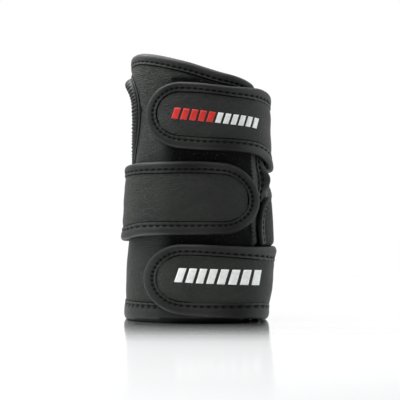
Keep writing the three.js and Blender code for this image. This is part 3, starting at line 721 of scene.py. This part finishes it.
def stitch_ends(run, thickness, place, pitch, length, closed):
    """Both ends of each stitch along an outline, lying in the groove."""
    count = int(round(run["total"] / pitch)) + (0 if closed else 1)
    values = [run[name] for name in ("s", "z", "in_s", "in_z", "stitch")]
    t = run["t"]
    if closed:
        values = [np.append(value, value[0]) for value in values]
        t = np.append(t, run["total"])
    ends = []
    for shift in (-length / 2, length / 2):
        at = np.arange(count) * pitch + shift
        if closed:
            at = at % run["total"]
        else:
            at = np.clip(at, STITCH_TO_END, run["total"] - STITCH_TO_END)
        s, z, in_s, in_z, k = (np.interp(at, t, value) for value in values)
        ends.append(place(s + in_s * k, z + in_z * k, thickness / 2 + GROOVE_RISE + STITCH_RISE))
    return np.stack(ends, axis=1)


def make_stitches(name, ends, radius=THREAD_RADIUS):
    points, faces = capsules(ends, radius)
    return make_piece(name, points, faces, [THREAD])


def make_tape(name, run, closed, thickness, place, level):
    """A stitched tape round an outline. level gives how light it is painted at each station, a
    painted light or shade.
    """
    run = resample(run, TAPE_STEP, closed)
    pitch = run["total"] / round(run["total"] / STITCH_PITCH)
    rings, pattern, shade = tape_rings(run, thickness, place, pitch)
    shade = shade * level(run["s"], run["z"])[:, None]
    piece = make_sweep(name, rings, closed, [TAPE], pattern, shade)
    make_stitches(name.replace("binding", "stitches"),
                  stitch_ends(run, thickness, place, pitch, STITCH_LENGTH, closed))
    return piece


# The wrap

# The wrap's tape along its back end, its top, the middle of its bottom and its palm end: how far
# its stitches (stitch) and its inner edge (line) lie in from the outline, and how fat its roll is.
WRAP_TAPE = {
    "stitch": (5.5, 5.5, 11.3, 2.2),
    "line": (7.2, 7.1, 13.0, 3.3),
    "fat": (1, 1, 1, 0.45),
}
STEPS_ALONG_EDGE = 240


def wrap_outline():
    """The wrap's outline, anticlockwise on the pattern: bottom, back end, top, palm end."""
    start, end, height = wrap_rows(nominal_rows(90), 0)
    bottom_s = np.linspace(start[0], end[0], STEPS_ALONG_EDGE)[:-1]
    top_s = np.linspace(end[-1], start[-1], STEPS_ALONG_EDGE)[:-1]
    right_z = wrap_height(height, end, 0)[:-1]
    left_z = wrap_height(height, start, 0)[::-1][:-1]
    left_s = start[::-1][:-1]
    outline = {
        "s": np.concatenate([bottom_s, end[:-1], top_s, left_s]),
        "z": np.concatenate([0 * bottom_s, right_z, top_edge(top_s), left_z]),
    }
    wide = smooth(np.minimum(bottom_s - start[0], end[0] - bottom_s), 0, 30)
    hem = smooth(np.minimum(left_z, top_edge(left_s) - left_z), 1, 14)
    for name, (back, top, bottom, palm) in WRAP_TAPE.items():
        parts = [mix(back, bottom, wide), back + 0 * right_z, top + 0 * top_s, mix(back, palm, hem)]
        outline[name] = np.concatenate(parts)
    return outline


def strap_cover(s, z):
    """1 where a strap presses on the wrap, fading to 0 outside it."""
    covered = np.zeros(np.broadcast(s, z).shape)
    for strap in STRAPS.values():
        for turn in (0, GIRTH):
            at = s + turn
            low, high = sorted((strap["tip"], strap["root"]))
            along = smooth(at, low - 5, low + 1) * (1 - smooth(at, high - 1, high + 5))
            lower = look_up(strap["edges"], "lower", at)
            upper = look_up(strap["edges"], "upper", at)
            across = smooth(z, lower - 4, lower + 3) * (1 - smooth(z, upper - 3, upper + 4))
            covered = np.maximum(covered, along * across)
    return covered


def wrap_tape_painted_light(s, z):
    """Painted light on the wrap's tape: painted lighter all round, as if lit more, and lightest
    along its two ends, in the shaded valley where they lap.
    """
    return mix(1.13, 1.5, smooth(z, 6, 12) * (1 - smooth(z, 72, 80)))


# The wrap's padding: how far it puffs up, what is left of that under a strap, and its swell.
PUFF = {"rise": 0.42, "under_strap": 0.35, "swell": 0.12}
# Painted light and shade on the wrap's panel: painted shade at the tape, low down, on the palm side
# and towards the patch, and painted light on the strip beside the patch.
WRAP_PAINTED_SHADING = {"at_tape": 0.7, "low": 0.82, "strip": 1.6, "palm": 0.8, "at_patch": 0.5}


def wrap_painted_shading(s, z, near, palm):
    """Painted light and shade on the wrap's panel: painted shade at its tape, low down, on the palm
    side and at the loop patch, and painted light in the strip between the patch and the lapping end.
    near is the distance from the nearest edge, palm that from the palm side's end."""
    shade = mix(WRAP_PAINTED_SHADING["at_tape"], 1, smooth(near, 7.2, 9.0))
    shade = shade * mix(WRAP_PAINTED_SHADING["low"], 1, smooth(z, 45, 70))
    patch_right = np.minimum(LOOP_PATCH["right"], palm_end(z) - LOOP_TO_PALM_END)
    beside_patch = smooth(s - patch_right, 0, 1.2)
    shade = shade * mix(1, WRAP_PAINTED_SHADING["strip"], beside_patch)
    shade = shade * mix(WRAP_PAINTED_SHADING["palm"], 1, smooth(palm, 25, 35))
    toward_patch = smooth(s, LOOP_PATCH["left"] - 9, LOOP_PATCH["left"]) * (1 - beside_patch)
    return shade * mix(1, WRAP_PAINTED_SHADING["at_patch"], toward_patch * (1 - smooth(z, 150, 165)))


def make_wrap():
    start, end, height = wrap_rows(nominal_rows(100), EDGE_INSET)
    share = np.linspace(0, 1, 215)[:, None]
    s = mix(start[None, :], end[None, :], share)
    z = wrap_height(np.broadcast_to(height, s.shape), s, EDGE_INSET)
    rim_s, rim_z = thumb_rim(240)
    from_rim = distance_to(s, z, rim_s, rim_z)
    middle_s = (s[:-1, :-1] + s[1:, 1:]) / 2
    middle_z = (z[:-1, :-1] + z[1:, 1:]) / 2
    hole = inside_rim(middle_s, middle_z)
    hole |= distance_to(middle_s, middle_z, rim_s, rim_z) < THUMB_CUT
    top = (top_edge(s) - z) / slant(TOP_EDGE, "z", s)
    palm = s - (palm_end(z) - GIRTH)
    near = np.minimum.reduce([z - 6, top, BACK_END - s, palm + 2, from_rim])
    free = 1 - strap_cover(s, z)
    puff = PUFF["rise"] * smooth(near, 7.0, 15) * mix(PUFF["under_strap"], 1, free)
    puff += PUFF["swell"] * ripple(s, z, seed=11, size=26) * smooth(near, 8, 18) * free
    shade = wrap_painted_shading(s, z, near, palm)
    outer = on_wrap(s, z, WRAP_THICKNESS / 2 + puff)
    inner = on_wrap(s, z, -WRAP_THICKNESS / 2)
    cover = make_shell("wrap_cover", outer, inner, [PANEL, LINING], ~hole, (s, z), shade)
    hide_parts("wrap_body")
    tape = make_tape("wrap_edge_binding", wrap_outline(), True, WRAP_THICKNESS, on_wrap,
                     wrap_tape_painted_light)
    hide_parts("wrap_binding")


# The thumb hole's gathered tape

THUMB_SECTION = [  # k, d, and how far the point moves out where the roll stands out by one
    (8.3, 1.54, 0.0),
    (8.1, 1.6, 0.0),
    (7.5, 1.6, 0.0),
    (7.3, 1.85, 0.0),
    (7.0, 2.05, 0.05),
    (5.9, 2.05, 0.1),
    (5.5, 1.85, 0.15),
    (5.1, 2.1, 0.45),
    (4.2, 2.6, 1.2),
    (2.6, 2.75, 2.1),
    (0.9, 2.4, 2.5),
    (0.0, 1.1, 2.1),
    (0.0, -1.0, 1.8),
    (1.4, -2.3, 1.3),
    (4.4, -2.5, 0.5),
    (7.4, -1.75, 0.0),
]
THUMB_SLOT = [(5.0, -1.55, 0.0), (5.0, 1.55, 0.0)]  # the rest of it, round the panel's edge
THUMB_SEAM = 5.5
THUMB_STEP = 0.28
THUMB_STITCH = {"pitch": 3.3, "length": 2.2, "radius": 0.3}
# Its gathers: ribs that slant across it, wander and rise unevenly. middle is how far up a rib, from
# 0 to 1, it is level with the plain tape, and drawn_in is how far a rib moves the rim.
GATHER = {
    "pitch": 2.25, "depth": 0.8, "slant": 0.16, "wander": 0.25, "uneven": 0.3, "middle": 0.6,
    "drawn_in": 0.35,
}
# Painted shade and highlight along and across it: painted shade in a gather's valley and a painted
# highlight on its rib, and painted shade in the seam and on the thin film past the edge.
THUMB_SHADE = {"valley": 0.3, "rib": 1.2, "seam": 0.35, "past_edge": 0.12}
# Loose ends of thread beside the tape: their level, the way in from the rim, and how far each
# reaches up and out from there.
THREAD_ENDS = {
    "z": 142.5, "in": 8.2, "radius": 0.28,
    "ends": [(1.9, 0.9), (0.7, 1.5), (-0.5, 1.3), (-1.9, 0.7)],
}


def rounded_line(rows, steps):
    """More points along a line of table rows, by a smooth curve through them."""
    rows = np.array(rows, float)
    t = np.linspace(0, len(rows) - 1, steps)
    at = np.arange(len(rows), dtype=float)
    columns = [look_up({"at": at, "value": column}, "value", t) for column in rows.T]
    return np.stack(columns, axis=1)


def make_thumb_tape():
    rim_s, rim_z = thumb_rim(720)
    run = resample({"s": rim_s, "z": rim_z}, THUMB_STEP, True)
    pitch = run["total"] / round(run["total"] / GATHER["pitch"])
    section_k, section_d, moves = np.concatenate([rounded_line(THUMB_SECTION, 44), THUMB_SLOT]).T
    k = np.broadcast_to(section_k, (len(run["s"]), len(section_k)))
    roll = look_up(THUMB_ROLL, "out", run["z"])[:, None]
    wander = GATHER["wander"] * ripple(run["t"], 0 * run["t"], seed=5, size=14)[:, None]
    lean = GATHER["slant"] * k + wander
    rib = np.abs(np.sin(math.pi * (run["t"][:, None] / pitch + lean)))
    above = rib - GATHER["middle"]
    gathered = smooth(run["z"], 104, 120)[:, None] * smooth(5.6 - k, 0, 1.6) * (section_d > -1.6)
    uneven = 1 + GATHER["uneven"] * ripple(run["t"], 0 * run["t"], seed=9, size=9)[:, None]
    swell = gathered * uneven * GATHER["depth"] * above
    d = section_d + moves * roll + swell * np.sign(section_d + 0.01)
    k = k - GATHER["drawn_in"] * gathered * above * (section_k < 1.2)
    s, z = into_panel(run, k)
    # Painted shade in the gathers' valleys, a painted highlight on their ribs, and painted shade in
    # the seam and past the edge.
    crease = mix(1, mix(THUMB_SHADE["valley"], THUMB_SHADE["rib"], rib), gathered)
    strip = np.where(np.abs(section_k - THUMB_SEAM) < 0.35, THUMB_SHADE["seam"], 1)
    strip = strip * np.where(section_k > 7.35, THUMB_SHADE["past_edge"], 1)
    tape = make_sweep("thumb_edge_binding", on_wrap(s, z, d), True, [TAPE], (s, z), crease * strip)
    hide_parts("thumb_binding")
    seam = dict(run)
    seam["stitch"] = np.full(len(run["s"]), THUMB_SEAM)
    sewn = run["total"] / round(run["total"] / THUMB_STITCH["pitch"])
    ends = stitch_ends(seam, WRAP_THICKNESS + 0.2, on_wrap, sewn, THUMB_STITCH["length"], True)
    make_stitches("thumb_stitches", ends, THUMB_STITCH["radius"])
    make_thread_ends(run)


def make_thread_ends(run):
    """A few loose ends of thread on the panel beside the thumb tape."""
    front = run["s"] > THUMB["s"]
    knot = np.argmin(np.where(front, np.abs(run["z"] - THREAD_ENDS["z"]), GIRTH))
    foot_s, foot_z = (values[knot, 0] for values in into_panel(run, THREAD_ENDS["in"]))
    ends = []
    for up, out in THREAD_ENDS["ends"]:
        foot = on_wrap(np.array(foot_s - 0.8), np.array(foot_z + up / 2), WRAP_THICKNESS / 2 + 0.2)
        tip = on_wrap(np.array(foot_s + out), np.array(foot_z + up), WRAP_THICKNESS / 2 + 0.7)
        ends.append(np.stack([foot, tip]))
    make_stitches("thumb_thread_ends", np.stack(ends), THREAD_ENDS["radius"])


# The loop patch

# The patch's pile: each loop is an arched ribbon, with rows of (share of its reach, share of its
# height). Its reach, height and half width lie between a least and a most.
PILE_COUNT = 15000
PILE_ARCH = ((0, 0), (0.25, 0.8), (0.6, 1.0), (1, 0.2))
PILE_REACH = (0.35, 0.9)
PILE_HEIGHT = (0.25, 0.6)
PILE_HALF_WIDTH = (0.035, 0.06)
ZIGZAG = {"step": 1.5, "inside": 1.3, "outside": -1.2, "radius": 0.24}
# How far the field's points stray sideways at its sides and in and out on its face, how low its
# rim is, and how deep the whole face is sunk among the pile.
FUZZ = {"side": 0.7, "face": 0.16, "rim": -0.3, "sunk": 0.15}
LOOP_BELOW_TOP = 8


def patch_place(s, z, d):
    return on_wrap(s, z, d + WRAP_THICKNESS / 2 + SLOT_GAP)


def patch_point(across, up):
    """A place on the loop patch from its shares across and up it."""
    height = up * LOOP_PATCH["top"]
    right = np.minimum(LOOP_PATCH["right"], palm_end(height) - LOOP_TO_PALM_END)
    s = mix(LOOP_PATCH["left"], right, across)
    below_tape = LOOP_BELOW_TOP * slant(TOP_EDGE, "z", s)
    top = np.minimum(top_edge(s) - below_tape, LOOP_PATCH["top"])
    return s, mix(LOOP_PATCH["bottom"], top, up)


def make_loop_patch():
    chance = np.random.default_rng(21)
    across, up = np.meshgrid(np.linspace(0, 1, 66), np.linspace(0, 1, 170), indexing="ij")
    s, z = patch_point(across, up)
    side = (across == 0) | (across == 1)
    s = s + np.where(side, chance.uniform(-FUZZ["side"], FUZZ["side"], s.shape), 0)
    fuzz = chance.uniform(-FUZZ["face"], FUZZ["face"], s.shape)
    rim = np.minimum.reduce([across, 1 - across, up, 1 - up])
    fuzz[rim == 0] = FUZZ["rim"]
    outer = patch_place(s, z, LOOP_THICKNESS + fuzz - FUZZ["sunk"])
    inner = patch_place(s, z, 0.0)
    patch = make_shell("loop_field", outer, inner, [LOOP], None, (s, z))
    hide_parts("loop_patch")
    pile = make_pile(chance)
    height = LOOP_PATCH["top"] - LOOP_PATCH["bottom"]
    make_zigzag(height)


def make_pile(chance):
    """Many small arched ribbons of loops standing on the patch, brushed every way."""
    count = PILE_COUNT
    a, b = patch_point(chance.uniform(-0.022, 1.008, count), chance.uniform(0.003, 0.997, count))
    turn = chance.uniform(0, 2 * math.pi, count)
    reach, tall, half = (chance.uniform(*span, count)
                         for span in (PILE_REACH, PILE_HEIGHT, PILE_HALF_WIDTH))
    rows = []
    for share, rise in PILE_ARCH:
        at_s, at_z = a + np.cos(turn) * reach * share, b + np.sin(turn) * reach * share
        for side in (-half, half):
            rows.append(patch_place(at_s - np.sin(turn) * side, at_z + np.cos(turn) * side,
                                    LOOP_THICKNESS - 0.2 + tall * rise))
    index = np.arange(count * len(rows)).reshape(count, len(rows))
    steps = range(0, len(rows) - 2, 2)
    faces = np.concatenate([index[:, [i, i + 1, i + 3, i + 2]] for i in steps])
    pile = make_piece("loop_pile", np.stack(rows, axis=1), faces, [PILE])
    return pile


def make_zigzag(height):
    """The zigzag seams that hold both long edges of the patch."""
    zigzag = []
    for edge, inward in ((0.0, 1.0), (1.0, -1.0)):
        steps = np.arange(0, 1, ZIGZAG["step"] / height)
        s, z = patch_point(np.full(len(steps), edge), steps)
        inside = np.arange(len(steps)) % 2 == 0
        swing = np.where(inside, ZIGZAG["inside"], ZIGZAG["outside"])
        corners = patch_place(s + inward * swing, z, np.where(inside, LOOP_THICKNESS + 0.1, 0.15))
        zigzag.append(np.stack([corners[:-1], corners[1:]], axis=1))
    make_stitches("loop_stitches", np.concatenate(zigzag), ZIGZAG["radius"])


# The straps

# Painted shade: the straps' tape is painted darker than the wrap's, as if less lit.
STRAP_TAPE_PAINTED_SHADE = 0.9
ROOT_PRESSED = {"thin": 0.62, "in": 1.95}
# The sewn box on each root: how far its ends lie from the root's end and its sides from the
# strap's edges, and its stitches.
ROOT_BOX = {"near": 2.5, "far": 13, "side": 9.5, "pitch": 3.2, "radius": 0.32}


def strap_place(strap):
    """A strap's middle lies further out where it crosses the loop patch or the lapped end, and
    is pressed down thin where its root is sewn on."""
    def place(s, z, d):
        over_loop = smooth(s, -30, -20) - smooth(s, 38, 48)
        lift = mix(LIFT_FLAT, LIFT_LOOP, over_loop)
        sewn = 1 - smooth(np.abs(s - strap["root"]), 8, 18)
        out = d * mix(1, ROOT_PRESSED["thin"], sewn) + lift - ROOT_PRESSED["in"] * sewn
        if not strap["over_flap"]:
            return on_tube(s, z, out)
        level = np.minimum(z, STEP_HEIGHT)
        points = on_tube(s, level, out + lap_lift(s, level))
        points[..., 2] = z
        return points
    return place


def strap_edges(strap, s, inset):
    """A strap's lower and upper edge at places along it, moved inwards by inset."""
    towards_tip = np.sign(strap["tip"] - strap["root"])
    lower = look_up(strap["edges"], "lower", s) + inset
    upper = look_up(strap["edges"], "upper", s) - inset
    left = (strap["tip"] - s) * towards_tip - inset
    length = strap["tip_length"] - inset
    part = np.clip(1 - left / length, 0, 1)
    half = (upper - lower) / 2 * np.where(left < length, np.sqrt(np.clip(1 - part**2, 0, 1)), 1)
    middle = (lower + upper) / 2
    return middle - half, middle + half


def strap_stations(strap, inset, step, tip_steps):
    """Places along a strap from its root to its tip, closer together round the tip."""
    towards_tip = np.sign(strap["tip"] - strap["root"])
    tip = strap["tip"] - towards_tip * inset
    bend_start = strap["tip"] - towards_tip * strap["tip_length"]
    count = int(abs(bend_start - strap["root"]) / step)
    straight = np.linspace(strap["root"], bend_start, count)
    bend = mix(bend_start, tip, np.sin(np.linspace(0, math.pi / 2, tip_steps)))[1:]
    return np.concatenate([straight, bend])


def strap_outline(strap):
    s = strap_stations(strap, 0, 1.5, 80)
    lower, upper = strap_edges(strap, s, 0)
    near_tip = smooth(1 - np.abs(strap["tip"] - s) / strap["tip_length"], 0, 1)
    seams = [mix(look_up(strap["edges"], side, s), strap["tip_seam"], near_tip)
             for side in ("lower_seam", "upper_seam")]
    run = {"s": np.concatenate([s, s[::-1][1:]]), "z": np.concatenate([lower, upper[::-1][1:]])}
    run["stitch"] = np.concatenate([seams[0], seams[1][::-1][1:]])
    run["line"] = run["stitch"] + STRIP_WIDTH + 0.3 * ripple(run["s"], run["z"], seed=17, size=60)
    run["fat"] = np.ones(len(run["s"]))
    if strap["tip"] < strap["root"]:
        run = {name: values[::-1] for name, values in run.items()}
    return run


STRAP_PUFF = {"rise": 0.5, "swell": 0.14}


def panel_surface(strap, s, z):
    """How far a strap's face stands out of its middle: crowned between the tapes."""
    lower, upper = strap_edges(strap, s, 0)
    along = np.abs(strap["tip"] - s)
    near = np.minimum.reduce([z - lower - 1, upper - z, along])
    swell = ripple(s, z, strap["seed"], size=22, across=0.6)
    puff = STRAP_PUFF["rise"] * smooth(near, 6.5, 14)
    puff += STRAP_PUFF["swell"] * swell * smooth(near, 7, 12)
    return STRAP_THICKNESS / 2 + puff


def make_strap(name):
    strap = STRAPS[name]

    # The strap's tape in painted shade, darker by the tape's level and by the strap's shade.
    def strap_tape_painted_shade(s, z):
        return np.full(np.broadcast(s, z).shape, STRAP_TAPE_PAINTED_SHADE * strap["shade"])

    place = strap_place(strap)
    s = strap_stations(strap, EDGE_INSET, 1.1, 26)
    lower, upper = strap_edges(strap, s, EDGE_INSET)
    spread = np.where(np.arange(len(s)) == len(s) - 1, 0.02, 0)
    share = np.linspace(0, 1, 44)[None, :]
    z = mix((lower - spread)[:, None], (upper + spread)[:, None], share)
    s = np.broadcast_to(s[:, None], z.shape)
    outer = place(s, z, panel_surface(strap, s, z))
    inner = place(s, z, -STRAP_THICKNESS / 2)
    if strap["tip"] < strap["root"]:
        s, z, outer, inner = s[::-1], z[::-1], outer[::-1], inner[::-1]
    # Painted shade: the whole strap's leather is painted darker or lighter, as if lit less or more.
    shade = np.full(s.shape, strap["shade"])
    panel = make_shell(f"{name}_panel", outer, inner, [PANEL], None, (s, z), shade)
    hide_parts(name)
    tape = make_tape(f"{name}_edge_binding", strap_outline(strap), False, STRAP_THICKNESS, place,
                     strap_tape_painted_shade)
    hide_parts(f"{name}_binding")
    make_root_stitches(name, strap, place)


def make_root_stitches(name, strap, place):
    """A sewn box with a cross that holds the strap's root to the wrap."""
    towards_tip = np.sign(strap["tip"] - strap["root"])
    near, far = (strap["root"] + towards_tip * ROOT_BOX[end] for end in ("near", "far"))
    lower, upper = strap_edges(strap, np.array([near, far]), ROOT_BOX["side"])
    corners = [(near, lower[0]), (far, lower[1]), (far, upper[1]), (near, upper[0])]
    ends = []
    for first, last in ((0, 1), (1, 2), (2, 3), (3, 0), (0, 2), (1, 3)):
        (s0, z0), (s1, z1) = corners[first], corners[last]
        count = max(int(math.hypot(s1 - s0, z1 - z0) / ROOT_BOX["pitch"]), 1)
        for i in range(count):
            a, b = (i + 0.12) / count, (i + 0.88) / count
            ends.append([(mix(s0, s1, a), mix(z0, z1, a)), (mix(s0, s1, b), mix(z0, z1, b))])
    ends = np.array(ends)
    points = place(ends[..., 0], ends[..., 1], STRAP_THICKNESS / 2 + 0.4)
    make_stitches(f"{name}_root_stitches", points, ROOT_BOX["radius"])


# Printed bars

# Each row of slanting bars: its strap, its paint, where it starts and ends along the strap, how
# many bars it has, the gap between two, how far each leans, and the shares of the way up the strap
# of their feet and of their heads, both as (at the first bar, at the last).
BARS = {
    "hand_bars_red": ("hand_strap", RED, -16, 10, 5, 1.5, 2.2, (0.44, 0.42), (0.61, 0.58)),
    "hand_bars_white": ("hand_strap", WHITE, 11.5, 39, 6, 1.5, 2.2, (0.42, 0.39), (0.58, 0.55)),
    "forearm_bars": ("forearm_strap", WHITE, -12.6, 34.8, 8, 1.8, 2.6, (0.46, 0.47), (0.66, 0.68)),
}
PAINT_RISE = 0.13
PAINT_ROOT = 0.1  # how deep each bar sits in the strap's face


def make_bars(name, strap, material, first, last, count, gap, lean, foot, head):
    """A row of slanting bars printed on a strap's face."""
    place = strap_place(strap)
    width = (last - first - gap * (count - 1)) / count
    outer, faces = [], []
    for i in range(count):
        start = first + i * (width + gap)
        across, up = np.meshgrid(np.linspace(0, 1, 7), np.linspace(0, 1, 9), indexing="ij")
        s = start + width * across + lean * (up - 0.5)
        lower, upper = strap_edges(strap, s, 0)
        part = (s - first) / (last - first)
        share = mix(mix(foot[0], foot[1], part), mix(head[0], head[1], part), up)
        z = mix(lower, upper, share)
        face = panel_surface(strap, s, z)
        top, bottom = place(s, z, face + PAINT_RISE), place(s, z, face - PAINT_ROOT)
        base = len(outer) * 2 * s.size
        outer.append(np.concatenate([top.reshape(-1, 3), bottom.reshape(-1, 3)]))
        faces.append(shell_faces(grid_quads(*s.shape).reshape(-1, 4), s.size) + base)
    make_piece(name, np.concatenate(outer), np.concatenate(faces), [material])


make_wrap()
make_thumb_tape()
make_loop_patch()
for strap_name in STRAPS:
    make_strap(strap_name)
for row_name, (strap_name, *row) in BARS.items():
    make_bars(row_name, STRAPS[strap_name], *row)


# Floor, lights and camera

# How much of the floor's light is mirrored, by its place in front of the object in metres.
FLOOR_SHEEN = [(-0.395, 0.02), (-0.341, 0.1), (-0.243, 0.2), (-0.186, 0.25), (-0.154, 0.32),
               (-0.119, 0.52), (-0.081, 0.8), (-0.045, 0.95)]
FLOOR_FAR, FLOOR_NEAR = -0.4, -0.04
FLOOR_HALF = 0.45
FLOOR_TONE = (0.44, 0.44, 0.44, 1)
FLOOR_ROUGHNESS = 0.12
BRIGHT = (1, 1, 1, 1)
COOL_LIGHT = (0.9, 0.97, 1)
LIGHT_AIM = (0, 0, 0.09)


def make_floor():
    mesh = bpy.data.meshes.new("floor")
    corners = [(x * FLOOR_HALF, y * FLOOR_HALF, 0) for x, y in ((-1, -1), (1, -1), (1, 1), (-1, 1))]
    mesh.from_pydata(corners, [], [(0, 1, 2, 3)])
    material = bpy.data.materials.new("pale_floor")
    nodes = Nodes(material)
    forward = nodes.add("SeparateXYZ", {0: nodes.place()}).outputs["Y"]
    stops = [((at - FLOOR_FAR) / (FLOOR_NEAR - FLOOR_FAR), share) for at, share in FLOOR_SHEEN]
    sheen = nodes.tones(nodes.spread(forward, FLOOR_FAR, FLOOR_NEAR), BRIGHT, stops)
    matt = nodes.add("BsdfDiffuse", {"Color": FLOOR_TONE}).outputs[0]
    shiny = nodes.add("BsdfGlossy", {"Color": BRIGHT, "Roughness": FLOOR_ROUGHNESS}).outputs[0]
    blend = nodes.add("MixShader", {0: sheen, 1: matt, 2: shiny})
    nodes.put(blend.outputs[0], nodes.tree.nodes["Material Output"].inputs["Surface"])
    mesh.materials.append(material)
    add_object("floor", mesh)


def add_aimed(name, data, place, aim):
    """A light or camera at a place, pointed at another."""
    holder = add_object(name, data)
    holder.location = place
    holder.rotation_euler = (Vector(aim) - holder.location).to_track_quat("-Z", "Y").to_euler()
    return holder


def add_light(name, place, size, power, colour=(1, 1, 1)):
    light = bpy.data.lights.new(name, "AREA")
    light.shape = "RECTANGLE"
    light.size, light.size_y = size
    light.energy = power
    light.color = colour
    add_aimed(name, light, place, LIGHT_AIM)


# Where the world's strength starts and stops growing on the way back, and its least and its most.
WORLD = (-0.3, 0.5, 0.14, 1.0)


def make_world():
    """White behind the object, as a lit backdrop is, and dimmer in front, where the room is."""
    world = bpy.data.worlds.new("studio")
    bpy.context.scene.world = world
    nodes = Nodes(world)
    ground = nodes.tree.nodes["Background"].inputs
    nodes.put(BRIGHT, ground["Color"])
    back = nodes.add("SeparateXYZ", {0: nodes.place("Generated")}).outputs["Y"]
    seen = nodes.add("LightPath").outputs["Is Camera Ray"]
    strength = nodes.math("MAXIMUM", nodes.spread(back, *WORLD, "SMOOTHSTEP"), seen)
    nodes.put(strength, ground["Strength"])


# The camera's focal length is that of the photo, which is 400 pixels wide.
CAMERA = {
    "sensor": 36, "focal_pixels": 1594, "photo_pixels": 400,
    "place": (-0.0001, -1.09835, 0.1), "aim": (0.00095, 0.00165, 0.0817),
}


def make_camera():
    camera = bpy.data.cameras.new("camera")
    camera.sensor_width = CAMERA["sensor"]
    camera.lens = CAMERA["sensor"] * CAMERA["focal_pixels"] / CAMERA["photo_pixels"]
    bpy.context.scene.camera = add_aimed("camera", camera, CAMERA["place"], CAMERA["aim"])


make_floor()
add_light("left_softbox", (-0.64, -0.12, 0.6), (0.7, 0.9), 5.4, COOL_LIGHT)
add_light("right_softbox", (0.72, -0.08, 0.36), (0.7, 0.9), 3.8, COOL_LIGHT)
add_light("top_softbox", (-0.3, 0.05, 0.85), (0.9, 0.7), 18)
make_world()
make_camera()
bpy.context.scene.view_settings.view_transform = "Standard"
